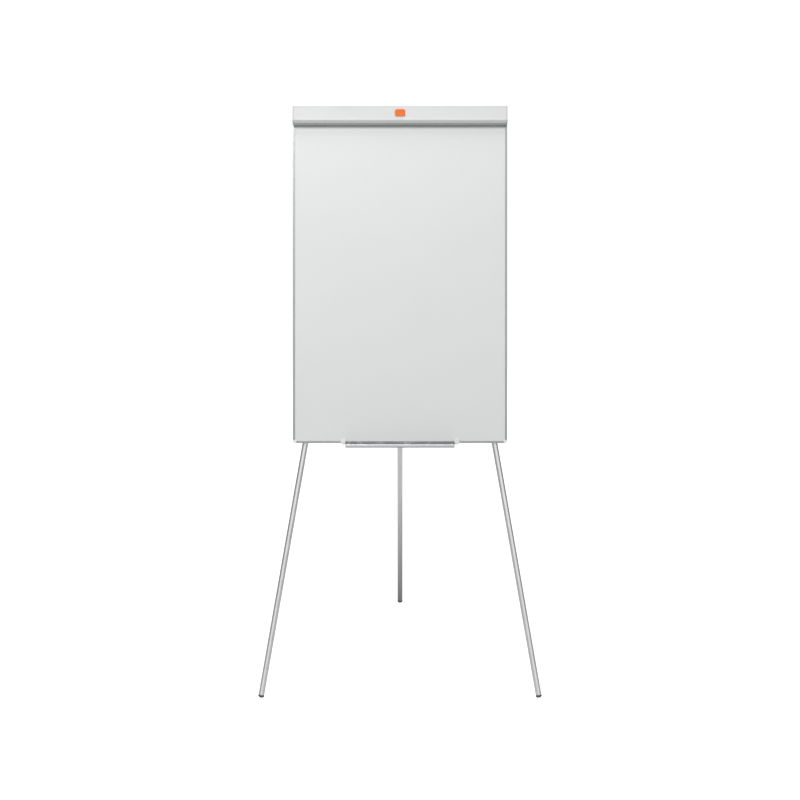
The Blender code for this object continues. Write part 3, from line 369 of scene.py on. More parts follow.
def own_mesh(name, node, place):
    """A solid's own shape, drawn again in a frame, with its flat faces whole."""
    mesh = frame["nodes"][node].data.copy()
    mesh.name = name
    if "custom_normal" in mesh.attributes:
        mesh.attributes.remove(mesh.attributes["custom_normal"])
    mesh.transform(place.inverted())
    drawn = bmesh.new()
    drawn.from_mesh(mesh)
    bmesh.ops.remove_doubles(drawn, verts=drawn.verts, dist=2e-6)
    bmesh.ops.dissolve_limit(drawn, angle_limit=math.radians(1.0), verts=drawn.verts, edges=drawn.edges)
    drawn.to_mesh(mesh)
    drawn.free()
    return mesh


def ease_edges(mesh, width, steps=2, sharper_than=35):
    """Rounds every edge that turns by more than this many degrees."""
    drawn = bmesh.new()
    drawn.from_mesh(mesh)
    edges = [e for e in drawn.edges if e.is_manifold and e.calc_face_angle(0) > math.radians(sharper_than)]
    bmesh.ops.bevel(
        drawn, geom=edges, offset=width, segments=steps, profile=0.5, affect="EDGES", clamp_overlap=True
    )
    bmesh.ops.recalc_face_normals(drawn, faces=drawn.faces)
    drawn.to_mesh(mesh)
    drawn.free()
    return mesh


def place_piece(name, mesh, place, body, look, slot, *stands_for, crease=32):
    """A finished piece on its body. Faces that meet at less than crease degrees are shaded round."""
    mesh.materials.clear()
    mesh.materials.append(look)
    mesh.shade_smooth()
    mesh.set_sharp_from_angle(angle=math.radians(crease))
    piece = bpy.data.objects.new(name, mesh)
    bpy.context.scene.collection.objects.link(piece)
    piece.matrix_world = place
    flats = piece.modifiers.new("flat_faces_stay_flat", "WEIGHTED_NORMAL")
    flats.keep_sharp = True
    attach(piece, body)
    if stands_for:
        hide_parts(*stands_for)
    return piece


def refine(node, place, body, look, slot, width=0.0003, steps=2):
    """A solid's own shape with its edges eased."""
    mesh = ease_edges(own_mesh(node, node, place), width, steps)
    return place_piece(f"{node}_finished", mesh, place, body, look, slot, node)


TRIM_COLOUR = (0.40, 0.41, 0.42)
side_anodised = anodised("side_trim_anodised", ALONG_Z, TRIM_COLOUR)
bottom_anodised = anodised("bottom_trim_anodised", ALONG_X, TRIM_COLOUR)
for side in ("left", "right"):
    refine(f"side_trim_{side}", BOARD, "board", side_anodised, "trim_aluminium", 0.00035)
refine("bottom_trim", BOARD, "board", bottom_anodised, "trim_aluminium", 0.00035)

# ---------------------------------------------------------------- corner caps
# Light grey mouldings that join the trims at the two bottom corners. They are one shell each, rounded at
# the outer corner, with the faint even texture of a sparked mould.


def moulded(name, colour, roughness=0.42):
    look, shader = finish_of(name, roughness)
    grain = use(look, FINE_TEXTURE, Scale=1700.0, Softness=2.0)
    handled = use(look, SMUDGES, Scale=14.0, Start=0.45, Reach=0.3)
    colours(look, shader, handled, colour, tuple(c * 0.92 for c in colour))
    gloss(look, shader, grain, roughness - 0.07, roughness + 0.10)
    relief(look, shader, grain, 0.00006, 0.5)
    return look


light_plastic = moulded("light_plastic", (0.88, 0.88, 0.87))
for side in ("left", "right"):
    refine(f"corner_cap_{side}", BOARD, "board", light_plastic, "light_plastic", 0.0005, 3)

# ---------------------------------------------------------------- top rail, hook track and pad hooks
# The rail is the board's top trim. A zinc-plated flat bar stands off its front on three spacers, and two
# plastic sliders with headed pegs run along it to suit the holes of a pad.


def zinc():
    look, shader = finish_of("zinc_plate", 0.28, metallic=1.0)
    patches = use(look, SMUDGES, Scale=60.0, Start=0.35, Reach=0.4)
    colours(look, shader, patches, (0.66, 0.67, 0.69), (0.561, 0.5695, 0.5865))
    gloss(look, shader, patches, 0.28, 0.44)
    relief(look, shader, use(look, FINE_TEXTURE, Scale=2400.0), 0.00002, 0.4)
    return look


def arc(centre, radius, start, end, steps):
    """Points along an arc, angles in degrees, counted from the first axis towards the second."""
    turns = [math.radians(start + (end - start) * i / steps) for i in range(steps + 1)]
    return [(centre[0] + radius * math.cos(t), centre[1] + radius * math.sin(t)) for t in turns]


def stretch_outline(name, outline, low, high, axis):
    """A closed outline drawn out from low to high: of (y, z) points along x, or (x, z) along y."""
    corner = {"x": lambda a, b, along: (along, a, b), "y": lambda a, b, along: (a, along, b)}[axis]
    drawn = bmesh.new()
    rings = [[drawn.verts.new(corner(a, b, along)) for a, b in outline] for along in (low, high)]
    drawn.faces.new(rings[0])
    drawn.faces.new(rings[1])
    for i in range(len(outline)):
        j = (i + 1) % len(outline)
        drawn.faces.new((rings[0][i], rings[0][j], rings[1][j], rings[1][i]))
    bmesh.ops.recalc_face_normals(drawn, faces=drawn.faces)
    mesh = bpy.data.meshes.new(name)
    drawn.to_mesh(mesh)
    drawn.free()
    return mesh


TURNED_ABOUT = {
    "x": Matrix(((0, 0, 1), (1, 0, 0), (0, 1, 0))).to_4x4(),
    "y": Matrix(((0, 1, 0), (0, 0, 1), (1, 0, 0))).to_4x4(),
    "z": Matrix.Identity(4),
}


def lathe(name, profile, axis="z", centre=(0, 0, 0), sides=64):
    """A profile of (radius, along) points turned round an axis through centre."""
    drawn = bmesh.new()
    line = [drawn.verts.new((radius, 0, along)) for radius, along in profile]
    edges = [drawn.edges.new(pair) for pair in zip(line, line[1:])]
    whole_turn = {"cent": (0, 0, 0), "axis": (0, 0, 1), "angle": 2 * math.pi, "use_merge": True}
    bmesh.ops.spin(drawn, geom=line + edges, steps=sides, **whole_turn)
    bmesh.ops.remove_doubles(drawn, verts=drawn.verts, dist=1e-6)
    bmesh.ops.recalc_face_normals(drawn, faces=drawn.faces)
    mesh = bpy.data.meshes.new(name)
    drawn.to_mesh(mesh)
    drawn.free()
    mesh.transform(Matrix.Translation(centre) @ TURNED_ABOUT[axis])
    return mesh


def shape_with(mesh, operation, *others):
    """The mesh with others joined to it or cut from it."""
    body = bpy.data.objects.new("shape", mesh)
    bpy.context.scene.collection.objects.link(body)
    helpers = []
    for other in others:
        helper = bpy.data.objects.new("helper", other)
        bpy.context.scene.collection.objects.link(helper)
        helpers.append(helper)
        step = body.modifiers.new("step", "BOOLEAN")
        step.operation = operation
        step.object = helper
        step.solver = "EXACT"
    graph = bpy.context.evaluated_depsgraph_get()
    made = bpy.data.meshes.new_from_object(body.evaluated_get(graph))
    made.name = mesh.name
    for used in [body] + helpers:
        bpy.data.objects.remove(used)
    return made


zinc_plate = zinc()
black_plastic = moulded("black_plastic", (0.030, 0.030, 0.032), 0.48)
refine("top_rail", BOARD, "board", bottom_anodised, "trim_aluminium", 0.0003)
refine("hook_track", BOARD, "board", zinc_plate, "zinc_steel", 0.0004)


def pad_hook(side):
    """The slider's own shape with a smooth peg moulded on its front."""
    node = f"pad_hook_{side}"
    low, high = local_box(BOARD, node)
    front = high.y - 0.0069
    middle = ((low.x + high.x) / 2, 0, (low.z + high.z) / 2)
    slider = own_mesh(node, node, BOARD)
    drawn = bmesh.new()
    drawn.from_mesh(slider)
    cut_peg = {"plane_co": (0, front, 0), "plane_no": (0, -1, 0)}
    whole = drawn.verts[:] + drawn.edges[:] + drawn.faces[:]
    bmesh.ops.bisect_plane(drawn, geom=whole, clear_outer=True, dist=1e-7, **cut_peg)
    bmesh.ops.holes_fill(drawn, edges=[e for e in drawn.edges if e.is_boundary])
    drawn.to_mesh(slider)
    drawn.free()
    ease_edges(slider, 0.0005, 3)
    neck, head = 0.0030, 0.0043
    root = neck + 0.0008
    profile = [(0, front + 0.001), (root, front + 0.001), (root, front), (neck, front - 0.0012)]
    profile += [(neck, low.y + 0.0026), (head - 0.0003, low.y + 0.0019)]
    profile += arc((head - 0.0008, low.y + 0.0010), 0.0008, 45, -60, 5) + [(0, low.y)]
    peg = lathe("peg", profile, "y", middle, 40)
    piece = shape_with(slider, "UNION", peg)
    place_piece(f"{node}_finished", piece, BOARD, f"hook_{side}", black_plastic, "black_plastic", node)


pad_hook("left")
pad_hook("right")

# ---------------------------------------------------------------- clamp hinge
# At each end a folded plate stands on the top rail and holds a plain steel pin. A torsion spring is wound
# round the pin, with one leg on the plate and the other on the clamp bar's lip.
for side in ("left", "right"):
    refine(f"clamp_bracket_{side}", BOARD, "board", zinc_plate, "zinc_steel", 0.0003)


def pin(node, axis, place, body):
    """A plain pin with its ends broken."""
    low, high = local_box(place, node)
    along = "xyz".index(axis)
    others = [i for i in range(3) if i != along]
    radius = (high[others[0]] - low[others[0]]) / 2
    centre = (low + high) / 2
    centre[along] = 0
    start, end, ease = low[along], high[along], radius * 0.2
    profile = [(0, end), (radius - ease, end), (radius, end - ease)]
    profile += [(radius, start + ease), (radius - ease, start), (0, start)]
    mesh = lathe(node, profile, axis, centre, 40)
    place_piece(f"{node}_finished", mesh, place, body, zinc_plate, "zinc_steel", node)


pin("clamp_hinge_pin_left", "x", BOARD, "board")
pin("clamp_hinge_pin_right", "x", BOARD, "board")


def wire(name, points, radius):
    """Round wire through these points."""
    line = bpy.data.curves.new(name, "CURVE")
    line.dimensions = "3D"
    line.bevel_depth = radius
    line.bevel_resolution = 4
    line.use_fill_caps = True
    spline = line.splines.new("POLY")
    spline.points.add(len(points) - 1)
    for point, spot in zip(spline.points, points):
        point.co = (*spot, 1)
    drawn = bpy.data.objects.new(name, line)
    bpy.context.scene.collection.objects.link(drawn)
    graph = bpy.context.evaluated_depsgraph_get()
    mesh = bpy.data.meshes.new_from_object(drawn.evaluated_get(graph))
    bpy.data.objects.remove(drawn)
    return mesh


def clamp_spring(side):
    node = f"clamp_spring_{side}"
    low, high = local_box(BOARD, node)
    pin_low, pin_high = local_box(BOARD, f"clamp_hinge_pin_{side}")
    away = 1 if side == "right" else -1
    start, end = (high.x, low.x) if side == "right" else (low.x, high.x)
    wire_radius, coil_radius, turns, steps = 0.0006, 0.0050, 4, 28
    start -= away * wire_radius
    end += away * wire_radius
    pin_y, pin_z = (pin_low.y + pin_high.y) / 2, (pin_low.z + pin_high.z) / 2
    coil_foot = pin_z - coil_radius
    points = [(start, high.y - wire_radius, coil_foot), (start, pin_y + 0.002, coil_foot)]
    count = int((turns + 0.5) * steps)
    for i in range(count + 1):
        angle = 2 * math.pi * i / steps
        along = start + (end - start) * i / count
        points.append((along, pin_y - coil_radius * math.sin(angle), pin_z - coil_radius * math.cos(angle)))
    bend = 0.0030
    front, top = low.y + wire_radius, pin_z + coil_radius
    points += [(end, y, z) for y, z in arc((front + bend, top - bend), bend, 90, 180, 8)]
    points += [(end, front + 0.0006, low.z + 0.0074), (end, front + 0.0046, low.z + wire_radius)]
    mesh = wire(node, points, wire_radius)
    place_piece(f"{node}_finished", mesh, BOARD, "board", zinc_plate, "zinc_steel", node)


clamp_spring("left")
clamp_spring("right")

# ---------------------------------------------------------------- pad clamp
# A rolled steel bar, powder coated light grey. Its face has a shallow panel between two flat lips, and
# under it the bar turns in to press on the pad through a rubber strip. Moulded caps close its ends.


def powder_coat(name, colour, roughness=0.50):
    look, shader = finish_of(name, roughness)
    shader.inputs["Specular IOR Level"].default_value = 0.25
    grain = use(look, FINE_TEXTURE, Scale=1100.0, Softness=1.0)
    handled = use(look, SMUDGES, Scale=7.0, Start=0.44, Reach=0.35)
    colours(look, shader, handled, colour, tuple(c * 0.96 for c in colour))
    gloss(look, shader, handled, roughness, roughness + 0.08)
    relief(look, shader, grain, 0.00005, 0.5)
    return look


CLAMP_GREY = (0.72, 0.725, 0.725)
clamp_paint = powder_coat("clamp_paint", CLAMP_GREY)
clamp_plastic = moulded("clamp_plastic", CLAMP_GREY, 0.40)
bar_low, bar_high = local_box(BOARD, "clamp_bar")
BAR_WALL = 0.0015
BAR_BEND = 0.004
BAR_LIP = 0.0065
BAR_PANEL = 0.0005  # how far the face's panel lies back
FACE_FOOT = bar_low.z + 0.0085
TURN_IN = bar_low.y + 0.007
LIP_END = bar_low.y + 0.020


def clamp_face():
    """The outer side from the rear edge over the top and down to the turned-in lip."""
    front, top = bar_low.y, bar_high.z
    crown = arc((front + BAR_BEND, top - BAR_BEND), BAR_BEND, 90, 180, 12)
    panel_top, panel_foot = top - BAR_LIP, FACE_FOOT + BAR_LIP
    panel = [
        (front, panel_top),
        (front + BAR_PANEL, panel_top - BAR_PANEL),
        (front + BAR_PANEL, panel_foot + BAR_PANEL),
        (front, panel_foot),
    ]
    turned_in = [(front, FACE_FOOT), (TURN_IN, bar_low.z), (LIP_END, bar_low.z)]
    return [(bar_high.y, top)] + crown + panel + turned_in


def clamp_inside():
    front, top = bar_low.y, bar_high.z
    rise = BAR_WALL * 0.45
    back = [(LIP_END, bar_low.z + BAR_WALL), (TURN_IN + rise, bar_low.z + BAR_WALL)]
    back += [(front + BAR_WALL, FACE_FOOT + rise)]
    crown = arc((front + BAR_BEND, top - BAR_BEND), BAR_BEND - BAR_WALL, 180, 90, 12)
    return back + crown + [(bar_high.y, top - BAR_WALL)]


bar = stretch_outline("clamp_bar", clamp_face() + clamp_inside(), bar_low.x, bar_high.x, "x")
ease_edges(bar, 0.0003, 2, 30)
place_piece("clamp_bar_finished", bar, BOARD, "clamp", clamp_paint, "clamp_paint", "clamp_bar")

for side in ("left", "right"):
    cap_low, cap_high = local_box(BOARD, f"clamp_end_cap_{side}")
    rear_foot = FACE_HEIGHT + 0.0043
    outline = [p for p in clamp_face() if abs(p[0] - bar_low.y - BAR_PANEL) > 1e-6]
    outline += [(LIP_END, rear_foot), (cap_high.y, rear_foot)]
    cap = stretch_outline("clamp_end_cap", outline, cap_low.x, cap_high.x, "x")
    ease_edges(cap, 0.0007, 3, 30)
    name = f"clamp_end_cap_{side}"
    place_piece(f"{name}_finished", cap, BOARD, "clamp", clamp_plastic, "clamp_plastic", name)


def grip_rubber():
    look, shader = finish_of("grip_rubber", 0.62)
    dust_and_painted_shade = use(look, SMUDGES, Scale=30.0, Start=0.45, Reach=0.35)
    colours(look, shader, dust_and_painted_shade, (0.300, 0.305, 0.305), (0.350, 0.355, 0.355))
    relief(look, shader, use(look, FINE_TEXTURE, Scale=1600.0), 0.00008, 0.5)
    relief(look, shader, use(look, DRAWN_LINES, Stretch=(2.0, 700.0, 700.0)), 0.0001, 0.5)
    return look


refine("clamp_grip_strip", BOARD, "clamp", grip_rubber(), "grip_rubber", 0.0004, 3)

# ---------------------------------------------------------------- badge
# A plain orange plate glued to the middle of the clamp bar: glossy moulded plastic, slightly domed, with
# a thin rim all round and nothing written on it.


def orange_gloss():
    look, shader = finish_of("orange_gloss", 0.35, coat=0.1, coat_roughness=0.10)
    shader.inputs["Specular IOR Level"].default_value = 0.3
    worn = use(look, SMUDGES, Scale=120.0, Start=0.45, Reach=0.3)
    colours(look, shader, worn, (0.85, 0.170, 0.018), (0.79, 0.158, 0.016))
    relief(look, shader, use(look, FINE_TEXTURE, Scale=500.0), 0.00002, 0.3)
    return look


def rounded(low, high, radius, steps=8):
    """A rectangle with round corners, anticlockwise."""
    (a, b), (c, d) = low, high
    corners = [((c - radius, d - radius), 0), ((a + radius, d - radius), 90)]
    corners += [((a + radius, b + radius), 180), ((c - radius, b + radius), 270)]
    return [p for centre, start in corners for p in arc(centre, radius, start, start + 90, steps)]


def skin(name, rings):
    """A closed mesh over rings of points, each ring joined to the next and the two ends filled."""
    drawn = bmesh.new()
    rows = [[drawn.verts.new(point) for point in ring] for ring in rings]
    for outer, inner in zip(rows, rows[1:]):
        for i in range(len(outer)):
            j = (i + 1) % len(outer)
            drawn.faces.new((outer[i], outer[j], inner[j], inner[i]))
    drawn.faces.new(rows[0])
    drawn.faces.new(rows[-1])
    bmesh.ops.recalc_face_normals(drawn, faces=drawn.faces)
    mesh = bpy.data.meshes.new(name)
    drawn.to_mesh(mesh)
    drawn.free()
    return mesh


def badge():
    low, high = local_box(BOARD, "clamp_badge")
    side = [(0, high.y), (0, low.y + 0.0004)]
    rim = [(0.0003, low.y), (0.0011, low.y), (0.0015, low.y + 0.0004)]
    crown = [(0.006, low.y + 0.0002)]
    rings = []
    for inset, depth in side + rim + crown:
        corners = (low.x + inset, low.z + inset), (high.x - inset, high.z - inset)
        rings.append([(x, depth, z) for x, z in rounded(*corners, 0.0065 - inset * 0.9)])
    mesh = skin("clamp_badge", rings)
    look = orange_gloss()
    place_piece("clamp_badge_finished", mesh, BOARD, "clamp", look, "orange_plastic", "clamp_badge")


badge()

# ---------------------------------------------------------------- screws
# Zinc-plated pan-head screws with a cross recess. One drawing serves the tray, yoke and leg keepers.
SCREW_HEAD = 0.004
SCREW_RISE = 0.0026


def screw_shape():
    """A head that stands on the plane y = 0 and a shank that runs to the front of it."""
    head = [(0, SCREW_RISE)] + [(0.0016, SCREW_RISE - 0.00005)]
    head += arc((SCREW_HEAD - 0.0018, SCREW_RISE - 0.0018), 0.0018, 80, 0, 6) + [(SCREW_HEAD, 0)]
    shank = [(0.0019, 0), (0.0019, -0.0070), (0, -0.0085)]
    solid = lathe("screw", head + shank, "y", sides=40)
    slots = []
    for x, z in ((0.0017, 0.0004), (0.0004, 0.0017)):
        outline = [(-x, -z), (x, -z), (x, z), (-x, z)]
        slots.append(stretch_outline("slot", outline, SCREW_RISE - 0.0013, SCREW_RISE + 0.001, "y"))
    return shape_with(solid, "DIFFERENCE", *slots)


SCREW = screw_shape()


def screw(name, place, spot, turn=0.0, faces_front=False):
    """A screw whose head rests at spot. Turn is how far round its recess stopped, in degrees."""
    about = Matrix.Rotation(math.pi, 4, "Z") if faces_front else Matrix.Identity(4)
    set_in = place @ Matrix.Translation(spot) @ about @ Matrix.Rotation(math.radians(turn), 4, "Y")
    place_piece(name, SCREW.copy(), set_in, "board", zinc_plate, "zinc_steel")


# ---------------------------------------------------------------- pen tray
# An extruded aluminium channel: back wall, floor and a front lip that ends in a round bead, with an end
# plate at each side. White clips hook over the board's bottom edge and hold it with one screw each.


def above(look, axis, edge, ease=0.0007):
    """1 past this coordinate of the piece, 0 before it."""
    tree = look.node_tree
    where = tree.nodes.new("ShaderNodeTexCoord")
    split = tree.nodes.new("ShaderNodeSeparateXYZ")
    step = tree.nodes.new("ShaderNodeMapRange")
    step.inputs["From Min"].default_value = edge - ease
    step.inputs["From Max"].default_value = edge + ease
    tree.links.new(where.outputs["Object"], split.inputs[0])
    tree.links.new(split.outputs[axis], step.inputs["Value"])
    return step.outputs["Result"]


def product(look, *masks):
    """Masks multiplied together."""
    result = masks[0]
    for mask in masks[1:]:
        times = look.node_tree.nodes.new("ShaderNodeMath")
        times.operation = "MULTIPLY"
        look.node_tree.links.new(result, times.inputs[0])
        look.node_tree.links.new(mask, times.inputs[1])
        result = times.outputs[0]
    return result


def tray_metal_painted_shade_and_highlight(front, floor, bead_foot):
    """Anodised metal. Painted shade darkens and dulls the trough's inside in patches, and a painted
    highlight makes the colour lighter from the bead's foot upwards.
    """
    look, shader = finish_of("tray_anodised", 0.32, metallic=1.0)
    tree = look.node_tree
    patches = use(look, SMUDGES, Scale=25.0, Start=0.10, Reach=0.40)
    dust_and_painted_shade = product(look, above(look, "Y", front), above(look, "Z", floor), patches)
    # Painted highlight along the bead: the colour is lighter from the bead's foot upwards.
    colours(look, shader, above(look, "Z", bead_foot, 0.0004), (0.55, 0.56, 0.57), (0.80, 0.81, 0.82))
    with_bead_highlight = shader.inputs["Base Color"].links[0].from_socket
    # Painted shade in the trough: behind the front lip and above the floor, the colour darkens in patches.
    trough_painted_shade = tree.nodes.new("ShaderNodeMix")
    trough_painted_shade.data_type = "RGBA"
    trough_painted_shade.inputs[7].default_value = (0.33, 0.33, 0.335, 1)
    tree.links.new(dust_and_painted_shade, trough_painted_shade.inputs[0])
    tree.links.new(with_bead_highlight, trough_painted_shade.inputs[6])
    tree.links.new(trough_painted_shade.outputs[2], shader.inputs["Base Color"])
    gloss(look, shader, dust_and_painted_shade, 0.28, 0.60)
    relief(look, shader, use(look, DRAWN_LINES, Stretch=ALONG_X), 0.00002, 0.5)
    return look


def rounded_ends(low, high, radius):
    """A block as wide as the tray, with the two lower corners that are seen from the front rounded off."""
    outline = [(low.x, high.z + radius)] + arc((low.x + radius, low.z + radius), radius, 180, 270, 10)
    outline += arc((high.x - radius, low.z + radius), radius, 270, 360, 10) + [(high.x, high.z + radius)]
    return stretch_outline("rounded_ends", outline, low.y - radius, high.y + radius, "y")


def pen_tray():
    low, high = local_box(BOARD, "pen_tray")
    wall, bead, bend, plate = 0.0016, 0.0019, 0.003, 0.002
    lip = low.z + 0.0105
    back, front, foot = high.y, low.y, low.z
    outline = [(back, high.z), (back - wall, high.z)]
    outline += arc((back - wall - bend, foot + wall + bend), bend, 0, -90, 6)
    outline += arc((front + wall + bend, foot + wall + bend), bend, -90, -180, 6)
    outline += arc((front + bead, lip - bead), bead, -30, 180, 16)
    outline += arc((front + bend, foot + bend), bend, 180, 270, 6)
    outline += arc((back - bend, foot + bend), bend, 270, 360, 6)
    channel = stretch_outline("pen_tray", outline, low.x + plate / 2, high.x - plate / 2, "x")
    end = [(back, high.z), (back - 0.004, high.z), (front + 0.0035, lip)]
    end += arc((front + bend, lip - bend), bend, 90, 180, 5)
    end += arc((front + bend, foot + bend), bend, 180, 270, 6) + [(back, foot)]
    ends = []
    for start in (low.x, high.x - plate):
        ends.append(ease_edges(stretch_outline("tray_end", end, start, start + plate, "x"), 0.0006, 3, 50))
    tray = shape_with(channel, "UNION", *ends)
    tray = shape_with(tray, "INTERSECT", rounded_ends(low, high, 0.004))
    look = tray_metal_painted_shade_and_highlight(front + 2 * bead, foot + wall, lip - 1.1 * bead)
    place_piece("pen_tray_finished", tray, BOARD, "board", look, "tray_aluminium", "pen_tray")
    return low, high, wall


tray_low, tray_high, tray_wall = pen_tray()
for side, sign in (("left", -1), ("right", 1)):
    refine(f"tray_clip_{side}", BOARD, "board", light_plastic, "light_plastic", 0.0005, 3)
    spot = (sign * (tray_high.x - 0.0075), tray_high.y - tray_wall - 0.0001, tray_low.z + 0.008)
    screw(f"tray_screw_{side}", BOARD, spot, 20 * sign, faces_front=True)
    clip_low, clip_high = local_box(BOARD, f"tray_clip_{side}")
    clip_screw_x = sign * (tray_high.x + 0.008)
    screw(f"clip_screw_{side}", BOARD, (clip_screw_x, clip_high.y + 0.0001, clip_high.z - 0.006), 35 * sign)

# ---------------------------------------------------------------- leg yoke
# A folded steel bracket screwed across the board's back, coated mid grey. The front legs' knuckles sit
# inside it on studs welded to its front wall, and nuts hold them from behind.
bracket_paint = powder_coat("bracket_paint", (0.34, 0.35, 0.36), 0.45)
refine("leg_yoke", BOARD, "board", bracket_paint, "bracket_paint", 0.0006, 3)
yoke_low, yoke_high = local_box(BOARD, "leg_yoke")
wing_back = local_box(BOARD, "left_pivot_stud")[0].y
for i, (sign, height) in enumerate([(s, h) for s in (-1, 1) for h in (0.020, 0.050)]):
    spot = (sign * (yoke_high.x - 0.012), wing_back + 0.0001, yoke_low.z + height)
    screw(f"yoke_screw_{i + 1}", BOARD, spot, 25 + 40 * i)


THREAD_DEPTH = 0.0004
THREAD_PITCH = 0.00125


def thread(radius, end, count):
    """The profile of a bar's rounded end and of this many crests behind it."""
    profile = [(0, end), (radius - 0.0009, end)]
    for i in range(count):
        crest = end - 0.0006 - THREAD_PITCH * i
        profile += [(radius, crest), (radius, crest - THREAD_PITCH * 0.15)]
        profile += [(radius - THREAD_DEPTH, crest - THREAD_PITCH * 0.5)]
    return profile


def threaded(node, axis, place, body, plain_to):
    """A round bar whose last stretch, past plain_to, is threaded."""
    low, high = local_box(place, node)
    along = "xyz".index(axis)
    radius = (high.z - low.z) / 2
    centre = (low + high) / 2
    centre[along] = 0
    start, end, ease = low[along], high[along], 0.0003
    profile = thread(radius, end, int((end - 0.0006 - plain_to) / THREAD_PITCH))
    profile += [(radius - THREAD_DEPTH, plain_to), (radius, plain_to - ease), (radius, start + ease)]
    profile += [(radius - ease, start), (0, start)]
    mesh = lathe(node, profile, axis, centre, 40)
    place_piece(f"{node}_finished", mesh, place, body, zinc_plate, "zinc_steel", node)


def hexagon(name, middle, low, high, axis, radius, bore=None):
    """A hexagon with its corners chamfered at both faces, with or without a bore."""
    outline = arc(middle, radius, 0, 300, 5)
    block = stretch_outline(name, outline, low, high, axis)
    centre = {"x": (0, middle[0], middle[1]), "y": (middle[0], 0, middle[1])}[axis]
    crown = 0.0009
    profile = [(0, high), (radius - crown, high), (radius + 0.0002, high - crown * 0.7)]
    profile += [(radius + 0.0002, low + crown * 0.7), (radius - crown, low), (0, low)]
    made = shape_with(block, "INTERSECT", lathe("turned", profile, axis, centre, 64))
    if bore:
        hole = [(0, high + 0.001), (bore, high + 0.001), (bore, low - 0.001), (0, low - 0.001)]
        made = shape_with(made, "DIFFERENCE", lathe("hole", hole, axis, centre, 40))
    return made


def nut(node, axis, place, body):
    low, high = local_box(place, node)
    along = "xyz".index(axis)
    others = [i for i in range(3) if i != along]
    middle = tuple((low[i] + high[i]) / 2 for i in others)
    radius = (high[others[0]] - low[others[0]]) / 2
    mesh = hexagon(node, middle, low[along], high[along], axis, radius, 0.0042)
    place_piece(f"{node}_finished", mesh, place, body, zinc_plate, "zinc_steel", node, crease=25)


for side in ("left", "right"):
    threaded(f"{side}_pivot_stud", "y", BOARD, "board", yoke_high.y - 0.003)
    nut(f"{side}_pivot_nut", "y", BOARD, "board")

# ---------------------------------------------------------------- rear leg's bracket
# A pressed plate with two ears, riveted to the yoke. The rear leg turns between the ears on a hexagon bolt.
refine("rear_hinge_bracket", BOARD, "board", bracket_paint, "bracket_paint", 0.0004, 2)
hinge_low, hinge_high = local_box(BOARD, "rear_hinge_bracket")
PLATE_BACK = hinge_low.y + 0.002
hinge_middle = (hinge_low.z + hinge_high.z) / 2


def rivet_shape():
    head = [(0, 0.0019)] + arc((0, -0.0024), 0.0043, 80, 36, 7) + [(0.0035, 0)]
    return lathe("rivet", head + [(0.002, 0), (0.002, -0.006), (0, -0.006)], "y", sides=40)


for i, (x, z) in enumerate([(x, z) for x in (-0.022, 0.022) for z in (-0.018, 0.018)]):
    set_in = BOARD @ Matrix.Translation((x, PLATE_BACK + 0.0001, hinge_middle + z))
    place_piece(f"hinge_rivet_{i + 1}", rivet_shape(), set_in, "board", zinc_plate, "zinc_steel")


def pivot_bolt():
    node = "rear_pivot_bolt"
    low, high = local_box(BOARD, node)
    middle = ((low.y + high.y) / 2, (low.z + high.z) / 2)
    head_end = low.x + 0.0055
    head = hexagon(node, middle, low.x, head_end, "x", (high.y - low.y) / 2)
    radius, in_head, plain_to = 0.004, low.x + 0.002, high.x - 0.011
    profile = thread(radius, high.x, 8) + [(radius, plain_to), (radius, in_head), (0, in_head)]
    shank = lathe("shank", profile, "x", (0, *middle), 40)
    bolt = shape_with(head, "UNION", shank)
    place_piece(f"{node}_finished", bolt, BOARD, "board", zinc_plate, "zinc_steel", node, crease=25)


pivot_bolt()
nut("rear_pivot_nut", "x", BOARD, "board")

# ---------------------------------------------------------------- legs
# Each leg is two drawn aluminium tubes, one sliding in the other. The upper one hangs from a black moulded
# knuckle, and a collar at its foot carries a lobed knob whose screw pinches the lower one. A rubber tip is
# pushed into the lower tube's end.


def drawn_tube(name, plain, handled):
    """Satin aluminium, in its plain colour and where hands have dulled it."""
    look, shader = finish_of(name, 0.30, metallic=1.0)
    lines = use(look, DRAWN_LINES, Stretch=(1500.0, 1500.0, 6.0))
    colours(look, shader, use(look, SMUDGES, Scale=11.0, Start=0.42, Reach=0.35), plain, handled)
    gloss(look, shader, lines, 0.22, 0.36)
    relief(look, shader, lines, 0.00002, 0.5)
    return look, shader


def painted_shade_below(look, shader, start, end, dust_and_painted_shade):
    """Painted shade: the metal's colour darkens more and more from one height of the leg down to another.
    """
    tree = look.node_tree
    reach = (start - end) / 2
    fade = above(look, "Z", start - reach, reach)
    mix = tree.nodes.new("ShaderNodeMix")
    mix.data_type = "RGBA"
    mix.inputs[6].default_value = (*dust_and_painted_shade, 1)
    tree.links.new(shader.inputs["Base Color"].links[0].from_socket, mix.inputs[7])
    tree.links.new(fade, mix.inputs[0])
    tree.links.new(mix.outputs[2], shader.inputs["Base Color"])


def tip_rubber():
    look, shader = finish_of("tip_rubber", 0.68)
    scuffed = use(look, SMUDGES, Scale=90.0, Start=0.45, Reach=0.3)
    colours(look, shader, scuffed, (0.085, 0.087, 0.090), (0.150, 0.150, 0.150))
    gloss(look, shader, scuffed, 0.60, 0.82)
    relief(look, shader, use(look, FINE_TEXTURE, Scale=1300.0, Softness=3.0), 0.00010, 0.6)
    return look


leg_tube, _ = drawn_tube("leg_tube", (0.86, 0.865, 0.875), (0.81, 0.815, 0.825))
